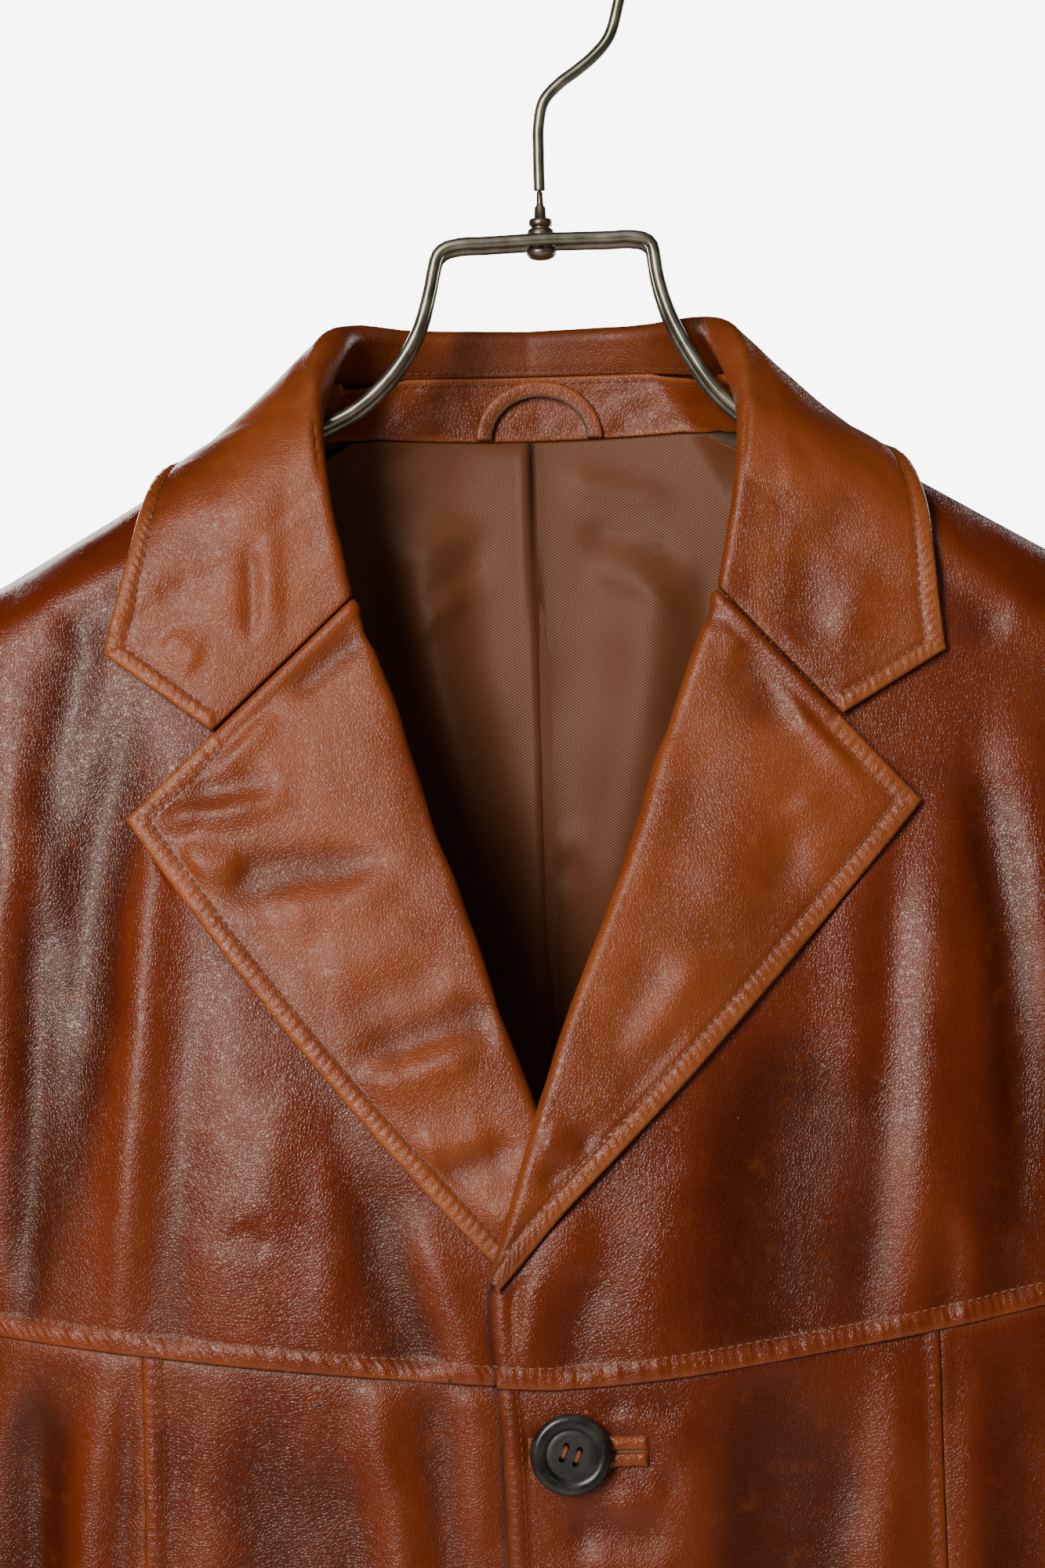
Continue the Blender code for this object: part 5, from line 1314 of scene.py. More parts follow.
def panel_relief(shell, side):
    x, z = shell.x, shell.z
    height = creased(shell, PANEL_CREASES[side], 13 + side, 0.16)
    height *= away_from_seams(shell, 0.25)
    height *= smoothstep(shell.down / 7.0)
    if side == LEFT:
        height *= button_clear(x, z)
        height += shell.lap(shell.start, EDGE_STITCH, 0.3, shell.down) - 0.8 * hole_frame(x, z)
        height += 0.7 * front_edge_turned(shell.start, z)
        # Painted shade along the left front's edge.
        shell.shade += 0.3 * bell(shell.start, 3.0)
    else:
        # Painted shade on the right front along the left front's edge.
        shell.shade += overlap_shade(x, z)
    height -= 0.5 * bell(shell.down, 2.5)
    # Painted shadow under the yoke seam.
    shell.shade += 0.7 * bell(shell.down, 0.9)
    seam_pucker = 0.6 * ripples(z, 1.1 * PUCKER_PITCH, 51 + side)
    height += shell.lap(shell.end, SEAM_STITCH[side], 0.4, shell.down, seam_pucker)
    return height + lapped(shell.up, HEM_STITCH, 0.3)


def seam_wear(shell):
    return 0.55 * bell(shell.end, 1.3) + 0.3 * bell(shell.start, 2.2) + 0.4 * bell(shell.up, 3.0)


def front_panel_points(side):
    """Columns from the front edge to the vertical seam, and rows from the yoke seam to the hem."""
    down = rows_of("panel")[:, None]
    across = columns_of("panel")[None, :]
    top_edge, top_seam = float(front_edge_x(YOKE_MID_Z, side)), SIDE_SEAM_X[side]
    top_z = yoke_seam_z(between(top_edge, top_seam, across), side) - SEWN_EACH
    z = between(top_z, HEM_Z, down)
    edge = front_edge_x(z, side)
    x = between(edge, side_seam_x(z, side) - side * SEWN_EACH, across)
    return joined(x, front_y(x, z, side), z)


def front_panel(side, word):
    made = Shell("front_panel_" + word, front_panel_points(side), LEATHER, FORWARDS, BODY_LEATHER,
                 lambda shell: panel_relief(shell, side), seam_wear)
    lines = [made.downwards(SEAM_STITCH[side], from_end=True), made.crosswise(HEM_STITCH, from_end=True)]
    if side == LEFT:
        lines.append(made.downwards(EDGE_STITCH))
    sew("stitches_panel_" + word, lines)


def side_relief(shell, side):
    height = creased(shell, SIDE_CREASES[side], 23 + side, 0.16)
    height *= away_from_seams(shell, 0.2)
    height *= smoothstep(shell.down / 7.0)
    height -= 0.5 * bell(shell.down, 2.5) + 0.35 * bell(shell.start, 1.6)
    # Painted shadow under the yoke seam and armhole, and along the front's seam.
    shell.shade += 0.7 * bell(shell.down, 0.9) + 0.6 * bell(shell.start, 0.8)
    return height + lapped(shell.up, HEM_STITCH, 0.3)


def side_panel_points(side):
    """Columns from the front's vertical seam to the side seam; the top follows the yoke and the armhole."""
    seam_x = abs(SIDE_SEAM_X[side])
    under_z = armhole_z(np.linspace(YOKE_ANGLE[side], 180.0, 60))
    yoke_x = np.linspace(seam_x, armhole_x(under_z[0]), 60)
    line_x = np.concatenate([yoke_x, armhole_x(under_z[1:])])
    line_z = np.concatenate([yoke_seam_z(yoke_x, side), under_z[1:]]) - SEWN_EACH
    line = joined(line_x, half_depth(line_x, line_z, False), line_z)
    length = run_along(line)
    low = columns_of("side")
    top_x, top_z = (np.interp(low * length[-1], length, part) for part in (line_x, line_z))
    seam = girth_share(np.abs(side_seam_x(top_z, side)) / half_width(top_z, False))
    top = (girth_share(top_x / half_width(top_z, False)) - seam) / (1.0 - seam)
    down = rows_of("side")[:, None]
    z = between(top_z, HEM_Z, down)
    across = top + (low - top) * down
    width = half_width(z, False)
    seam = girth_share((np.abs(side_seam_x(z, side)) + SEWN_EACH) / width)
    x = side * width * width_share(seam + (1.0 - seam) * across)
    return joined(x, np.minimum(front_y(x, z, RIGHT), -SEWN_EACH), z)


def side_panel(side, word):
    made = Shell("side_panel_" + word, side_panel_points(side), LEATHER, FORWARDS, BODY_LEATHER,
                 lambda shell: side_relief(shell, side))
    sew("stitches_side_" + word, [made.crosswise(HEM_STITCH, from_end=True)])


def back_relief(shell):
    x, z = shell.x, shell.z
    height = strokes(x, z, BACK_CREASES)
    height += 0.6 * wobble(x, z, 34.0, 41) + 0.3 * wobble(x, z, 13.0, 43)
    under = smoothstep((z + 205.0 + 0.2 * np.abs(x)) / 8.0) * smoothstep((112.0 - np.abs(x)) / 8.0)
    height = height * (1.0 - under) + np.minimum(height, 0.2) * under
    height *= 0.2 + 0.8 * smoothstep(shell.border / 12.0)
    return height + lapped(shell.up, HEM_STITCH, 0.3)


def back_points():
    """Rows from side to side: over the armpit they end on the armholes, under it on the side seams."""
    across = columns_of("back") * 2.0 - 1.0
    rows = rows_of("back")
    upper = rows[rows < BACK_UPPER] / BACK_UPPER
    lower = (rows[rows >= BACK_UPPER] - BACK_UPPER) / (1.0 - BACK_UPPER)
    xs, zs = [], []
    for angle in upper * 180.0:
        side_z = armhole_z(angle)
        x = across * armhole_x(side_z)
        share = (ARMHOLE_TIP_Z - side_z) / (ARMHOLE_TIP_Z - ARMPIT[1])
        xs.append(x)
        zs.append(between(back_top_z(x), ARMPIT[1], share))
    for low in lower:
        z = ARMPIT[1] + low * (HEM_Z - ARMPIT[1]) + 0.0 * across
        start = np.sign(across) * girth_share(np.abs(across))
        share = between(start, across, smoothstep(low * 1.6))
        xs.append(np.sign(across) * half_width(z, True) * width_share(np.abs(share)))
        zs.append(z)
    x, z = np.array(xs), np.array(zs)
    return joined(x, np.maximum(half_depth(x, z, True), SEWN_EACH), z)


def back_shell():
    made = Shell("back", back_points(), LEATHER, BACKWARDS, BODY_LEATHER, back_relief)
    sew("stitches_back", [made.crosswise(HEM_STITCH, from_end=True)])


def turned_over(base, roll, edge, rise, turn, radius, stand, arc, fall):
    """Sections that rise from a base, turn over at a roll and fall towards an edge.

    stand, arc and fall hold the shares of the way along the stand, round the roll and down to the edge.
    """
    rise = unit(rise)
    turn = unit(turn - (turn * rise).sum(axis=-1, keepdims=True) * rise)
    radius = radius[:, None]
    start = roll - radius * (rise + turn)
    down = edge - roll
    along = (down * turn).sum(axis=-1)
    back = -(down * rise).sum(axis=-1)
    turn_to = math.pi / 2.0 + np.arctan2(back, np.maximum(along, 0.0))
    columns = [between(base, start, share) for share in stand[:-1]]
    for share in arc:
        angle = (turn_to * share)[:, None]
        last = start + radius * (np.sin(angle) * rise + (1.0 - np.cos(angle)) * turn)
        columns.append(last)
    fall_start = len(columns) - 1
    for share in fall[1:]:
        columns.append(between(last, edge, share))
    return np.stack(columns, axis=1), fall_start


def even_columns(points, shares):
    """The same surface with its columns at these shares of the way across."""
    start = travelled(points, 1)[0]
    made = np.empty((len(points), len(shares), 3))
    for row, line in enumerate(points):
        knots = start[row] / start[row, -1]
        for axis in range(3):
            made[row, :, axis] = np.interp(shares, knots, line[:, axis])
    return made


def edge_distance(outer, free, outer_free):
    """Distance from the sewn edge: the outer one, and the end's own where it is free past the notch."""
    return np.minimum(outer, np.where(outer < outer_free, free, 99.0))


def edge_wear(edge):
    """Rubbed lighter on a folded edge's welt, and most along the edge itself."""
    return 0.25 * smoothstep((COLLAR_STITCH - edge) / 2.0) + 0.4 * bell(edge - 1.0, 1.4)


def lapel_relief(shell, side):
    x, z = shell.x, shell.z
    height = 1.3 * strokes(x, z, LAPEL_CREASES[side])
    height += 0.45 * wobble(x, z, 24.0, 61 + side) + 0.16 * wobble(x, z, 8.0, 63 + side)
    height *= 0.2 + 0.8 * smoothstep((np.minimum(shell.end, shell.down) - 5.0) / 6.0)
    height += 0.7 * smoothstep(shell.border / 14.0)
    height = soft_limit(height, -1.9)
    edge = edge_distance(shell.end, shell.down, FREE_LAPEL[side])
    along = np.where(shell.end < shell.down, shell.down, shell.end)
    pucker = 0.4 * ripples(along, 0.8 * PUCKER_PITCH, 65 + side)
    height += shell.lap(edge, COLLAR_STITCH, 0.35, along, pucker)
    gorge = smoothstep((shell.end - FREE_LAPEL[side]) / 2.0)
    # Painted shade, darker towards the lapel's low end.
    shell.shade += 0.3 * below(z, -404.0, 24.0)
    return height + gorge * (0.9 * bell(shell.down - 2.6, 2.0) - 0.3 * bell(shell.down - 6.5, 1.6))


def lapel_wear(shell, side):
    edge = edge_distance(shell.end, shell.down, FREE_LAPEL[side])
    return edge_wear(edge) + 0.3 * bell(shell.start - 5.0, 3.0)


def lapel_roll(side, t):
    """Points of the base and of the roll line, and the way in the front's plane from the roll to the base."""
    roll_line = ROLL_LINE[side] + LAPEL_TAIL[side]
    roll_z = between(roll_line[0][0], roll_line[-1][0], t)
    roll_x = down_line(roll_line, roll_z)
    to_notch = unit(np.array(NOTCH[side]) - np.array([roll_x[0], roll_z[0]]))
    blend = smoothstep(t / 0.25)[:, None]
    away = unit(joined(-side * np.gradient(roll_z, t), side * np.gradient(roll_x, t)))
    away = unit(to_notch * (1.0 - blend) + away * blend)
    base_set = ROLL_SET - LAPEL_BASE_SEAM
    base_x, base_z = roll_x + away[:, 0] * base_set, roll_z + away[:, 1] * base_set
    reach = front_edge_x(base_z, side) - side * LAPEL_BASE_SEAM
    base_x = np.where(side * base_x > side * reach, reach, base_x)
    middle = front_y(base_x, base_z, side) + LEATHER / 2
    return joined(base_x, middle, base_z), joined(roll_x, middle - ROLL, roll_z), away


def lapel_edge(side, t):
    """Points of the outer edge, which is bowed out and turns into the front edge at its low end."""
    point, end = np.array(LAPEL_POINT[side]), np.array(LAPEL_END[side])
    chord = unit(end - point)
    outward = np.array([-chord[1], chord[0]]) * side
    bulge = LAPEL_BULGE[side] * 4.0 * t * (1.0 - t)
    edge = point + (end - point) * t[:, None] + outward * bulge[:, None]
    edge += smoothstep((t - 0.84) / 0.16)[:, None] * np.array(LAPEL_END_TURN[side])
    x, z = edge.T
    return joined(x, front_y(x, z, side) - LAPEL_LEVEL[1], z)


def lapel_points(side):
    """Rows from the gorge down to the lapel's end, each over the roll and out to the edge."""
    t = rows_of("lapel")
    base, roll, away = lapel_roll(side, t)
    rise = joined(-away[:, 0], 0.0 * t, -away[:, 1])
    turn = np.tile([0.0, -1.0, 0.0], (len(t), 1))
    fall = np.linspace(0.0, 1.0, 81)
    points, start = turned_over(base, roll, lapel_edge(side, t), rise, turn, np.full(len(t), ROLL),
                                (0.0, 1.0), np.linspace(0.0, 1.0, 13), fall)
    points[:, start + 1:] = clear_of_body(points[:, start + 1:], between(*LAPEL_LEVEL, fall[1:]), side)
    fade = bell(t * GRIDS["lapel"][0][1], 3.0)[:, None]
    points[..., 0] += GORGE_GAP * side * away[0, 1] * fade
    points[..., 2] -= GORGE_GAP * abs(away[0, 0]) * fade
    return even_columns(points, columns_of("lapel"))


def lapel(side, word):
    made = Shell("lapel_" + word, lapel_points(side), FACING_WALL, FORWARDS, COLLAR_LEATHER,
                 lambda shell: lapel_relief(shell, side), lambda shell: lapel_wear(shell, side), middle=True,
                 sink=0.4)
    free, corner = abs(NOTCH[side][0]) - 3.0, abs(LAPEL_POINT[side][0]) - 8.0
    sew("stitches_lapel_" + word, [
        made.downwards(COLLAR_STITCH, lambda x, y, z: z < LAPEL_POINT[side][1] - 1.0, from_end=True),
        made.crosswise(COLLAR_STITCH, lambda x, y, z: (np.abs(x) > free) & (np.abs(x) < corner)),
    ])


def collar_half(side, t):
    """Rows from the gorge to the centre back of one half of the collar."""
    knots = np.arange(len(COLLAR_BASE), dtype=float)
    mirror = np.array([side, 1.0, 1.0])
    base, roll, edge, rise, turn = (
        through(knots, np.array(line), t) * mirror
        for line in (COLLAR_BASE, COLLAR_ROLL, COLLAR_EDGE, COLLAR_RISE, COLLAR_TURN)
    )
    over_neckline = back_top_z(base[:, 0]) + STAND_LIFT
    base[:, 2] = np.where(t > 4.2, np.maximum(base[:, 2], over_neckline), base[:, 2])
    radius = through(knots, COLLAR_ROUND, t)
    lift = through(knots, COLLAR_LIFT, t)
    near = (1.0 - smoothstep(t / 3.5))[:, None]
    point = np.array([COLLAR_POINT[side][0], edge[0, 1], COLLAR_POINT[side][1]])
    edge = edge + near * (point - edge[0])
    fall = np.linspace(0.0, 1.0, 101)
    points, start = turned_over(base, roll, edge, rise, turn, radius, np.linspace(0.0, 1.0, 9),
                                np.linspace(0.0, 1.0, 17), fall)
    notch = np.array([NOTCH[side][0], 0.0, NOTCH[side][1]])
    gorge = np.array([roll[0, 0], 0.0, roll[0, 2]])
    flat_point = point * np.array([1.0, 0.0, 1.0])
    kink = notch - (gorge + (flat_point - gorge) * COLLAR_NOTCH_FALL)
    tent = np.interp(fall, [0.0, COLLAR_NOTCH_FALL, 1.0], [0.0, 1.0, 0.0])
    fade = 1.0 - smoothstep(t / 1.8)
    hollow = through(knots, COLLAR_SAG, t)[:, None] * (4.0 * fall * (1.0 - fall))[None, :]
    points[:, start:, 2] -= hollow
    points[:, start:] += fade[:, None, None] * tent[None, :, None] * kink
    points[:, start + 1:] = clear_of_body(points[:, start + 1:], lift[:, None], side)
    return points + bell(t * 35.0, 3.0)[:, None, None] * GORGE_GAP * np.array([side * 0.68, 0.0, 0.73])


def collar_edge_distance(shell):
    left = edge_distance(shell.end, shell.down, FREE_COLLAR[LEFT])
    right = edge_distance(shell.end, shell.up, FREE_COLLAR[RIGHT])
    return np.minimum(left, right)


def collar_relief(shell):
    x, y, z = shell.x, shell.y, shell.z
    fallen = smoothstep((shell.start - 0.3 * (shell.start + shell.end)) / 8.0)
    front = smoothstep((14.0 - y) / 10.0)
    height = 1.1 * front * strokes(x, z, COLLAR_CREASES)
    height += 1.3 * (1.0 - front) * strokes(x, z, COLLAR_BACK_CREASES)
    height += 0.35 * wobble(x + 2.0 * y, z, 22.0, 71) + 0.14 * wobble(x + 2.0 * y, z, 8.0, 73)
    inside_neck = (1.0 - front) * (1.0 - fallen)
    height += 0.7 * inside_neck * wobble(x, z, 9.0, 77)
    # Painted shade inside the neck, patchy.
    shell.shade += 0.22 * inside_neck * (1.0 + 0.5 * wobble(x, z, 16.0, 79))
    ends = np.minimum(shell.down, shell.up)
    height *= (0.2 + 0.8 * smoothstep((np.minimum(shell.end, ends) - 5.0) / 6.0)) * (0.35 + 0.65 * fallen)
    height = soft_limit(height + 0.5 * fallen * smoothstep(shell.border / 14.0), -1.9)
    along = np.where(shell.end < ends, shell.down, shell.end)
    pucker = 0.4 * ripples(along, 0.8 * PUCKER_PITCH, 75)
    height += shell.lap(collar_edge_distance(shell), COLLAR_STITCH, 0.35, along, pucker)
    gorge = smoothstep((shell.end - FREE_COLLAR[LEFT]) / 2.0)
    height -= 0.25 * gorge * bell(ends, 2.2)
    return height - 0.3 * bell(shell.start - NECK_STITCH, 0.8) * (1.0 - front)


def collar_wear(shell):
    ridge_line = bell(shell.start - 0.26 * (shell.start + shell.end), 4.0)
    return edge_wear(collar_edge_distance(shell)) + 0.25 * ridge_line


def collar():
    place = np.abs(rows_of("collar") * 2.0 - 1.0)
    t = (len(COLLAR_BASE) - 1) * (1.0 - place[:len(place) // 2 + 1])
    rows = np.concatenate([collar_half(LEFT, t)[:-1], collar_half(RIGHT, t)[::-1]])
    # Outwards is known where the collar falls over the fronts, near both gorges
    outwards = np.zeros((len(rows), 1, 3))
    outwards[:20, 0, 1] = outwards[-20:, 0, 1] = -1.0
    made = Shell("collar", even_columns(rows, columns_of("collar")), FACING_WALL, outwards, COLLAR_LEATHER,
                 collar_relief, collar_wear, middle=True, sink=0.4)
    corner = {side: abs(COLLAR_POINT[side][0]) - 7.0 for side in (LEFT, RIGHT)}
    free = {side: abs(NOTCH[side][0]) + 3.0 for side in (LEFT, RIGHT)}
    sew("stitches_collar", [
        made.downwards(COLLAR_STITCH, lambda x, y, z: z > np.where(x > 0, -234.0, -230.0), from_end=True),
        made.crosswise(COLLAR_STITCH, lambda x, y, z: (free[LEFT] < x) & (x < corner[LEFT])),
        made.crosswise(COLLAR_STITCH, lambda x, y, z: (free[RIGHT] < -x) & (-x < corner[RIGHT]), True),
        made.downwards(NECK_STITCH, lambda x, y, z: y > 22.0),
    ])


def bezier(ends, t):
    a, b, c, d = (np.array(point) for point in ends)
    t = t[:, None]
    return (1 - t) ** 3 * a + 3 * (1 - t) ** 2 * t * b + 3 * (1 - t) * t**2 * c + t**3 * d


def cap_rings(angles, back, share):
    """Rings that turn from the armhole's upright plane to the bicep's level one."""
    inner_x, outer_x, bicep_z = BICEP
    outer = bezier((SLEEVE_TIP, SLEEVE_HANDLE_TOP, SLEEVE_HANDLE_LOW, (outer_x, bicep_z)), share)
    turn = share * math.pi / 2.0
    start_x, start_z = ARMPIT[0] + LAYER_GAP, ARMPIT[1] + LAYER_GAP
    hinge = joined(start_x + (inner_x - start_x) * np.sin(turn),
                      start_z + (bicep_z - start_z) * (1.0 - np.cos(turn)))
    psi = np.radians(angles)
    at = (1.0 - np.cos(psi)) / 2.0
    start_half = np.where(back, ARMHOLE_BACK, ARMHOLE_FRONT)
    bulge = armhole_x(armhole_z(angles)) - (SLEEVE_TIP[0] + (ARMPIT[0] - SLEEVE_TIP[0]) * at)
    rings = []
    for k, part in enumerate(share):
        line = outer[k] + (hinge[k] - outer[k]) * at[:, None]
        inwards = np.array([-np.cos(turn[k]), np.sin(turn[k])])
        flat = line - inwards * (bulge * (1.0 - smoothstep(part * 1.2)))[:, None]
        half = between(start_half, SLEEVE_DEPTH[0], smoothstep(part * 1.25))
        y = np.where(back, 1.0, -1.0) * half * np.sin(psi)
        rings.append(joined(flat[:, 0], y, flat[:, 1]))
    return rings


def sleeve_folds(z, angle):
    relief = 0.0
    for place, half, height in SLEEVE_FOLDS:
        relief = relief + height * bell(z - place, half) * (0.5 + 0.5 * np.cos(angle - 2.2))
    return relief


def arm_rings(angles, back, shares):
    """Level rings from the bicep down to the cuff."""
    bicep_z = BICEP[2]
    rings = []
    psi = np.radians(angles)
    for share in shares:
        z = between(bicep_z, CUFF_Z, share)
        width = between(*SLEEVE_WIDTH, share)
        half = between(*SLEEVE_DEPTH, share)
        inner = half_width(z, False) + SLEEVE_BODY_GAP
        relief = sleeve_folds(z, np.where(back, -psi, psi))
        x = inner + width / 2 + (width / 2 + relief) * np.cos(psi)
        y = np.where(back, 1.0, -1.0) * (half + relief) * np.sin(psi) - SLEEVE_FORWARD * share**1.6
        rings.append(joined(x, y, z + 0.0 * x))
    return rings


def sleeve(side, word):
    count, full_turn = GRIDS["sleeve"][1]
    around = np.linspace(0.0, full_turn, count * INNER_EVERY + 1)
    back = around > 180.0
    angles = np.where(back, full_turn - around, around)
    shares = rows_of("sleeve")
    cap = shares[shares < CAP_PART] / CAP_PART
    arm = (shares[shares >= CAP_PART] - CAP_PART) / (1.0 - CAP_PART)
    rings = np.array(cap_rings(angles, back, cap) + arm_rings(angles, back, arm))
    rings[0, :, 0] += 0.3 * LAYER_GAP
    rings[:, -1] = rings[:, 0]
    rings[..., 0] *= side
    turned_by = np.where(back, -angles, angles)[:-1]

    def relief(shell):
        degrees = np.broadcast_to(turned_by, shell.z.shape)
        seam_side = smoothstep((176.0 - np.abs(degrees)) / 20.0)
        height = strokes(ROUND_ARM * degrees, shell.z, SLEEVE_CREASES)
        height += 0.6 * wobble(ROUND_ARM * degrees, shell.z, 30.0, 81 + side) * seam_side
        height *= smoothstep(np.minimum(shell.down, shell.up) / 14.0)
        height *= np.where(np.abs(degrees) > 120.0, 0.4, 1.0)
        return height + 0.8 * bell(shell.down - 5.0, 4.0) + lapped(shell.up, CUFF_STITCH, 0.35)

    centre = rings.mean(axis=1, keepdims=True)
    made = Shell("sleeve_" + word, rings, LEATHER, (rings - centre)[:, :-1], BODY_LEATHER, relief,
                 lambda shell: 0.6 * bell(shell.up, 2.5), closed=True)
    sew("stitches_cuff_" + word, [made.crosswise(CUFF_STITCH, from_end=True)])


def facing_relief(shell):
    height = 0.5 * wobble(shell.x, shell.z, 9.0, 91) + 0.3 * wobble(shell.x, shell.z, 4.5, 93)
    height *= smoothstep(shell.border / 3.0)
    return height - 0.3 * bell(shell.down - NECK_STITCH, 0.8)


def back_neck_facing():
    x = (columns_of("facing") * 2.0 - 1.0) * FACING_HALF
    top = back_top_z(x) + FACING_RISE[0] + FACING_RISE[1] * (x / NECK_HALF) ** 4
    down = rows_of("facing")[:, None]
    z = top[None, :] + (facing_foot_z(x) - top)[None, :] * down
    x = np.broadcast_to(x, z.shape)
    eased = FACING_EASE * (np.abs(x) / FACING_HALF) ** 3 + 0.7 * bell(down, 0.25)
    off = (LEATHER + LAYER_GAP + FACING_THICK + eased)[..., None]
    made = Shell("back_neck_facing", inside_back(x, z, off), FACING_THICK, FORWARDS, COLLAR_LEATHER,
                 facing_relief, sink=0.2)
    sew("stitches_facing", [made.crosswise(NECK_STITCH)])


def lining_relief(shell):
    x, z = shell.x, shell.z
    height = strokes(x, z, LINING_CREASES) + 0.4 * wobble(x, z, 22.0, 95)
    height *= smoothstep(shell.border / 7.0)
    past = down_line(PLEAT, z) - x
    step = smoothstep(past / 0.9 + 0.5) * (1.0 - smoothstep(past / PLEAT_FADE))
    # Painted shadow along the pleat's folded edge, and painted shade beside it.
    shell.shade += 0.85 * bell(past + 0.9, 0.8) + 0.25 * bell(past + 3.5, 3.0)
    return height + PLEAT_STEP * step * smoothstep(shell.down / 3.0) + 0.5 * bell(past - 1.4, 1.1)


def back_lining():
    share = (columns_of("lining") * 2.0 - 1.0) * LINING_REACH
    x_top = share * armhole_x(ARMPIT[1])
    shoulder = shoulder_line(x_top) - LINING_SHOULDER_DROP
    top = np.minimum(facing_foot_z(x_top) + LINING_UNDER_FACING, shoulder)
    z = top[None, :] + (HEM_Z + LINING_HEM - top[None, :]) * rows_of("lining")[:, None]
    grown = np.where(z < ARMPIT[1], half_width(z, True) / ARMPIT[0], 1.0)
    down = (top - z) / (top - HEM_Z)
    off = (LINING_BACK_OFF + LINING_FREE * down + LINING_THICK)[..., None]
    Shell("back_lining", inside_back(x_top[None, :] * grown, z, off), LINING_THICK, FORWARDS, LINING,
          lining_relief, sink=1.0)


def loop_rings(across, deep):
    """The strap's sections, from one foot over the arch to the other."""
    height = LOOP_TOP_Z - LOOP_FOOT_Z - LOOP_WIDTH / 2
    rings = []
    for angle in np.radians(np.linspace(180.0, 0.0, 73)):
        inset = LOOP_WIDTH / 2 * (1.0 - across)
        half = LOOP_HALF + LOOP_WIDTH / 2 - inset
        x = LOOP_X + half * np.cos(angle)
        z = LOOP_FOOT_Z + (height + LOOP_WIDTH - inset) * np.sin(angle)
        off = LEATHER + LAYER_GAP + FACING_THICK + LOOP_GAP + LOOP_THICK / 2 * (1.0 + deep)
        rings.append(inside_back(x, z, off[:, None]))
    return np.array(rings)


def hanger_loop():
    """A folded strap of leather in an arch, with its raw edge inside."""
    around = np.radians(np.linspace(0.0, 360.0, 25)[:-1])
    across = np.sign(np.cos(around)) * np.abs(np.cos(around)) ** 0.5
    deep = np.sign(np.sin(around)) * np.abs(np.sin(around)) ** 0.7
    rings = loop_rings(across, deep)
    index = np.arange(rings[..., 0].size).reshape(rings.shape[:2])
    quads = grid_quads(index, True)
    centre = len(rings) * rings.shape[1]
    caps = []
    for row, tip, flip in ((0, centre, 1), (-1, centre + 1, -1)):
        loop = np.append(index[row], index[row, 0])[::flip]
        caps += [(a, tip, b) for a, b in zip(loop, loop[1:])]
    points = np.concatenate([rings.reshape(-1, 3), rings[[0, -1]].mean(axis=1)]) + (COAT_X, 0.0, 0.0)
    raw = np.append(np.tile(smoothstep((-across - 0.55) / 0.3), len(rings)), (0.0, 0.0))
    rubbed = np.append(np.tile(0.55 * bell(across - 0.75, 0.3), len(rings)), (0.0, 0.0))
    made = mesh_object("strap_hanger_loop", points, quads, np.array(caps), COLLAR_LEATHER[0],
                       (("wear", rubbed), ("inside", raw)))
    hand_over(made, "hanger_loop")


def capsules(line, normals):
    """Thread stitches along a line: points, quads and triangles, each stitch a bent capsule."""
    run = run_along(line)
    count = max(int(run[-1] / STITCH_PITCH), 1)
    at = (np.arange(count) + 0.5) * run[-1] / count
    centre = read_line(at, run, line)
    out = unit(read_line(at, run, normals))
    along = unit(read_line(at + 0.5, run, line) - read_line(at - 0.5, run, line))
    side = unit(np.cross(along, out))
    stations = np.array([-1.0, -0.72, 0.0, 0.72, 1.0])
    thick = np.array([0.25, 0.85, 1.0, 0.85, 0.25]) * THREAD_RADIUS
    lifted = STITCH_ARCH * (1.0 - stations**2) - 0.5 * THREAD_RADIUS * stations**2
    turn = np.linspace(0.0, 2.0 * math.pi, STITCH_SIDES, endpoint=False)
    far = np.broadcast_to((stations * STITCH_LENGTH / 2.0)[:, None], (len(stations), STITCH_SIDES))
    high = lifted[:, None] + thick[:, None] * np.sin(turn)
    wide = thick[:, None] * np.cos(turn)
    points = centre[:, None, None]
    for way, amount in ((along, far), (out, high), (side, wide)):
        points = points + way[:, None, None] * amount[..., None]
    ring = np.arange(len(stations) * STITCH_SIDES).reshape(len(stations), STITCH_SIDES)
    quads = grid_quads(ring, True)[:, ::-1]
    fan = range(1, STITCH_SIDES - 1)
    ends = [(ring[0, 0], ring[0, k], ring[0, k + 1]) for k in fan]
    ends += [(ring[-1, 0], ring[-1, k + 1], ring[-1, k]) for k in fan]
    offsets = np.arange(count)[:, None, None] * ring.size
    return points.reshape(-1, 3), (quads + offsets).reshape(-1, 4), (np.array(ends) + offsets).reshape(-1, 3)


def sew(name, lines, thread="thread_brown"):
    """One mesh with the topstitches of all these lines."""
    points, quads, triangles, used = [], [], [], 0
    for line, normals in lines:
        if len(line) < 2:
            continue
        made = capsules(line, normals)
        points.append(made[0])
        quads.append(made[1] + used)
        triangles.append(made[2] + used)
        used += len(made[0])
    points = np.concatenate(points) + (COAT_X, 0.0, 0.0)
    piece = mesh_object(name, points, np.concatenate(quads), np.concatenate(triangles), thread)
    hand_over(piece)


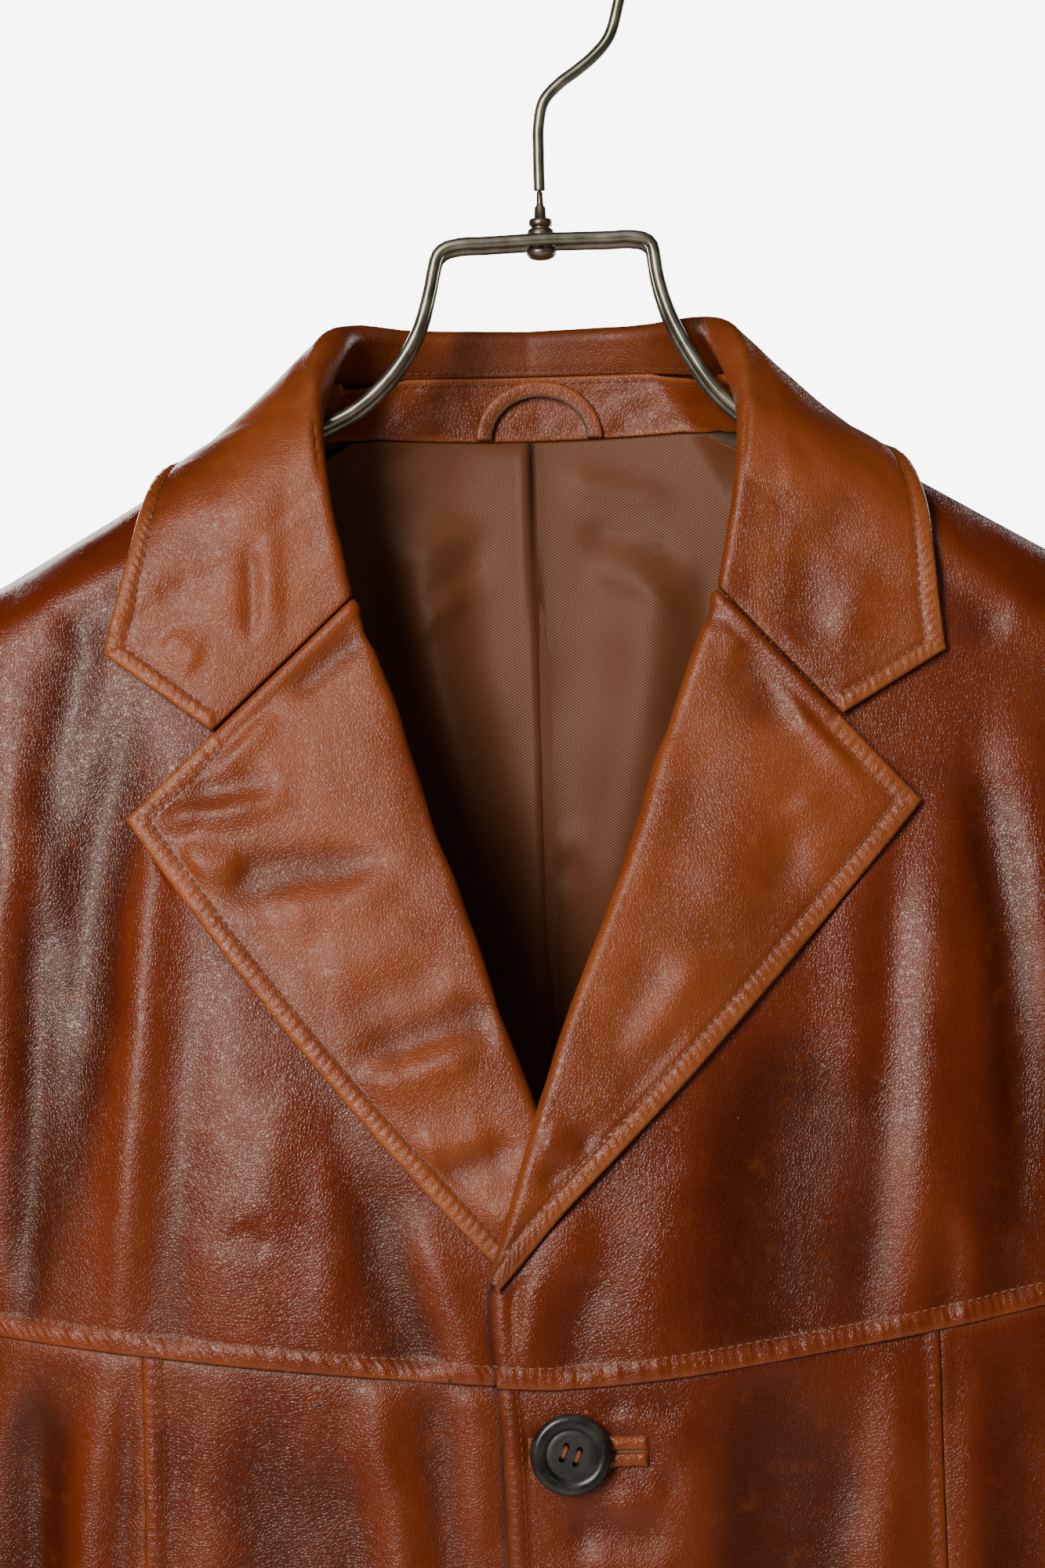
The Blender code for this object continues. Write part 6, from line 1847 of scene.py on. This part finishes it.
def bound_hole(name, button_z):
    """The two leather lips of a bound buttonhole; they rise where they come out from under the button."""
    x = between(HOLE_START_X, HOLE_END_X, columns_of("hole"))
    off = HOLE_HALF * (2.0 * rows_of("hole") - 1.0)
    x, z = np.meshgrid(x, button_z + off)
    base = joined(x, front_y(x, z, LEFT) + 0.35, z)

    def relief(shell):
        from_slit = np.abs(shell.z - button_z)
        free = smoothstep((shell.x - BUTTON_X - 9.5) / 4.0)
        lips = np.sqrt(np.clip(1.0 - ((from_slit - 2.35) / 2.2) ** 2, 0.0, 1.0))
        ends = smoothstep((HOLE_END_X - shell.x) / 1.6)
        tack = 0.5 * bell(shell.x - HOLE_END_X + 1.2, 0.8)
        rough = 0.12 * wobble(3.0 * shell.x, shell.z, 4.0, 97)
        slit = 0.4 + 0.55 * smoothstep((BUTTON_X + 19.0 - shell.x) / 6.0)
        # Painted shadow in the slit and along the outer edges of the lips.
        shell.shade += 0.95 * bell(from_slit, slit) * ends + 0.4 * bell(from_slit - HOLE_HALF, 0.5)
        return (0.15 + free) * lips * ends + tack - 0.7 * bell(from_slit, 0.45) * ends + rough * free

    Shell("front_panel_left", base, HOLE_WALL, FORWARDS, BODY_LEATHER, relief,
          lambda shell: np.full(shell.x.shape, 0.45), sink=0.0, name=name)


def turned(name, profile, steps, material_name):
    """A profile of (radius, height) points in millimetres, turned about Z."""
    around = np.linspace(0.0, 2.0 * math.pi, steps, endpoint=False)
    rings = np.array([[(r * math.cos(a), r * math.sin(a), z) for a in around] for r, z in profile[1:-1]])
    index = np.arange(rings[..., 0].size).reshape(rings.shape[:2])
    points = np.concatenate([rings.reshape(-1, 3), [(0.0, 0.0, profile[0][1]), (0.0, 0.0, profile[-1][1])]])
    top, foot = len(points) - 2, len(points) - 1
    caps = [(index[0, k], index[0, (k + 1) % steps], top) for k in range(steps)]
    caps += [(index[-1, (k + 1) % steps], index[-1, k], foot) for k in range(steps)]
    return mesh_object(name, points, grid_quads(index, True)[:, ::-1], np.array(caps), material_name)


def drilled(made):
    """Cuts the four thread holes through a button."""
    drill = bmesh.new()
    radius, off = BUTTON_HOLE_RADIUS * METRES, BUTTON_HOLE_SPREAD * METRES
    for x in (-off, off):
        for up in (-off, off):
            cut = bmesh.ops.create_cone(drill, cap_ends=True, segments=20, depth=0.02, radius1=radius,
                                        radius2=radius)
            bmesh.ops.translate(drill, verts=cut["verts"], vec=(x, up, 0.0))
    data = bpy.data.meshes.new("drill")
    drill.to_mesh(data)
    drill.free()
    tool = placed("drill", data)
    tool.location, tool.rotation_euler = made.location, made.rotation_euler
    holes = made.modifiers.new("holes", "BOOLEAN")
    holes.object = tool
    bpy.context.view_layer.update()
    cut = bpy.data.meshes.new_from_object(made.evaluated_get(bpy.context.evaluated_depsgraph_get()))
    made.modifiers.clear()
    made.data = cut
    cut.set_sharp_from_angle(angle=math.radians(BUTTON_SHARP))
    bpy.data.objects.remove(tool, do_unlink=True)


def button(node):
    z = BUTTON_Z[node]
    y = float(front_y(np.array(BUTTON_X), np.array(z), LEFT)) - BUTTON_GAP
    made = turned("turned_" + node, BUTTON_PROFILE, 72, "button_horn")
    made.location = ((BUTTON_X + COAT_X) * METRES, y * METRES, z * METRES)
    made.rotation_euler = (math.pi / 2, math.radians(BUTTON_TURN), 0.0)
    drilled(made)
    hand_over(made, node)
    thread(node, made)


def thread(node, onto):
    """Two rust-coloured loops of thread through the four holes, each of three strands."""
    rows = []
    for x in (-1, 1):
        for strand in (-1, 0, 1):
            rise = np.linspace(0.0, math.pi, 9)
            up = BUTTON_HOLE_SPREAD * 0.86 * np.cos(rise)
            lift = 1.6 + 1.55 * np.sin(rise) ** 0.8
            rows.append(joined(x * BUTTON_HOLE_SPREAD + 0.34 * strand + 0.0 * up, up, lift))
    made = bpy.data.curves.new("thread_" + node, "CURVE")
    made.dimensions = "3D"
    made.bevel_depth, made.bevel_resolution = 0.2 * METRES, 2
    for row in rows:
        spline = made.splines.new("POLY")
        spline.points.add(len(row) - 1)
        for point, place in zip(spline.points, row):
            point.co = (*(place * METRES), 1.0)
    piece = placed("thread_" + node, made, "thread_rust")
    piece.location, piece.rotation_euler = onto.location, onto.rotation_euler
    hand_over(piece)


def wire(name, node, points, radius, cyclic):
    """A round wire through points in millimetres, already in the hanger's own frame."""
    data = bpy.data.curves.new(name, "CURVE")
    data.dimensions = "3D"
    data.bevel_depth = radius * METRES
    data.bevel_resolution = 5
    data.use_fill_caps = not cyclic
    spline = data.splines.new("POLY")
    spline.points.add(len(points) - 1)
    for point, place in zip(spline.points, points):
        point.co = (*(np.array(place) * METRES), 1.0)
    spline.use_cyclic_u = cyclic
    spline.use_smooth = True
    hand_over(placed(name, data, "hanger_pewter"), node)


def resampled(route, count):
    knots = run_along(route)
    return through(knots, route, np.linspace(0.0, knots[-1], count))


def hook():
    angles = np.radians(np.linspace(*HOOK_ANGLES, 26))
    centre_z = -(HOOK_RADIUS - HOOK_WIRE)
    ring = joined(HOOK_RADIUS * np.cos(angles), centre_z + HOOK_RADIUS * np.sin(angles))
    x, z = resampled(np.concatenate([np.array(HOOK_SHAFT), ring]), 160).T
    wire("wire_hanger_hook", "hanger_hook", joined(x, 0.0 * x, z), HOOK_WIRE, False)


def wire_seat_z(x, y):
    coat_x = x - COAT_X
    wall = LEATHER + FRAME_WIRE + LAYER_GAP
    level = ridge(coat_x) - SHOULDER_ROUND
    across = half_depth(coat_x, level, False) - wall
    return level + (SHOULDER_ROUND - wall) * np.sqrt(np.maximum(1.0 - (y / across) ** 2, 0.0)) - WIRE_SET


def frame_side(side):
    """The front wire from the middle of the bar to the end of one shoulder."""
    neck = np.array(NECK_WIRE[side], float)
    seat_x = np.array(WIRE_ON_SHOULDER) * side
    half = np.interp(np.abs(seat_x), WIRE_SPREAD_X, WIRE_SPREAD)
    seat_z = wire_seat_z(seat_x, half)
    route = np.concatenate([neck, joined(seat_x, seat_z)])
    neck_half = np.interp(-neck[:, 1], (112.0, 160.0), (FRAME_BAR_HALF_DEPTH, FRAME_NECK_HALF_DEPTH))
    halves = np.concatenate([neck_half, half])
    line = joined(route[:, 0], -halves, route[:, 1])
    smooth = resampled(line, 120)
    turn = np.radians(np.linspace(10.0, 90.0, 9))
    end_x = np.abs(seat_x[-1]) + (WIRE_END_X - np.abs(seat_x[-1])) * np.sin(turn)
    end_z = seat_z[-1] - SHOULDER_SLOPE * (end_x - np.abs(seat_x[-1])) - 1.5 * np.sin(turn)
    end = joined(side * end_x, -half[-1] * np.cos(turn), end_z)
    return np.concatenate([smooth, end])


def hanger():
    hook()
    mirror = np.array([1.0, -1.0, 1.0])
    front = np.concatenate([frame_side(RIGHT)[::-1], frame_side(LEFT)[1:]])
    back = front[::-1][1:-1] * mirror
    wire("wire_hanger_frame", "hanger_frame", np.concatenate([front, back]), FRAME_WIRE, True)
    made = turned("turned_hanger_swivel", SWIVEL_PROFILE, 48, "hanger_copper")
    made.location = (SWIVEL_X * METRES, 0.0, 0.0)
    hand_over(made, "hanger_swivel")


def camera():
    data = bpy.data.cameras.new("camera")
    data.sensor_fit = "VERTICAL"
    data.sensor_height = CAMERA_SENSOR
    data.lens = CAMERA_LENS
    made = placed("camera", data)
    made.location = CAMERA_PLACE
    made.rotation_euler = (math.radians(CAMERA_TURN), math.radians(CAMERA_ROLL), 0.0)
    bpy.context.scene.camera = made


def softbox(name, place, target, size, power, colour):
    data = bpy.data.lights.new(name, "AREA")
    data.shape = "RECTANGLE"
    data.size, data.size_y = size
    data.energy = power
    data.color = colour
    made = placed(name, data)
    made.location = place
    aim = Vector(target) - Vector(place)
    made.rotation_euler = aim.to_track_quat("-Z", "Y").to_euler()


def pale_world():
    """A pale room: bright behind the coat, and dimmer as a light, so that the softboxes shape it."""
    world = bpy.data.worlds.new("studio")
    world.use_nodes = True
    tree = world.node_tree
    soft = tree.nodes["Background"]
    soft.inputs["Color"].default_value = AMBIENT_COLOUR
    soft.inputs["Strength"].default_value = AMBIENT
    pale = put(tree, "Background", {"Color": BACKDROP_COLOUR, "Strength": BACKDROP})
    seen = put(tree, "LightPath").outputs["Is Camera Ray"]
    mix = put(tree, "MixShader", {0: seen, 1: soft.outputs[0], 2: pale.outputs[0]})
    tree.links.new(mix.outputs[0], tree.nodes["World Output"].inputs["Surface"])
    bpy.context.scene.world = world


def floor():
    shape = bmesh.new()
    bmesh.ops.create_grid(shape, x_segments=1, y_segments=1, size=FLOOR_HALF)
    data = bpy.data.meshes.new("floor")
    shape.to_mesh(data)
    shape.free()
    made = placed("floor", data, "floor_paint")
    made.location = (0.0, 0.0, FLOOR_Z)


def main():
    camera()
    materials()
    pale_world()
    for light in LIGHTS:
        softbox(*light)
    floor()
    for side, word in SIDES:
        front_yoke(side, word)
        front_panel(side, word)
        side_panel(side, word)
        lapel(side, word)
        sleeve(side, word)
    back_shell()
    collar()
    back_neck_facing()
    back_lining()
    hanger_loop()
    for node in BUTTON_Z:
        button(node)
        bound_hole("hole_for_" + node, BUTTON_Z[node])
    hanger()


main()
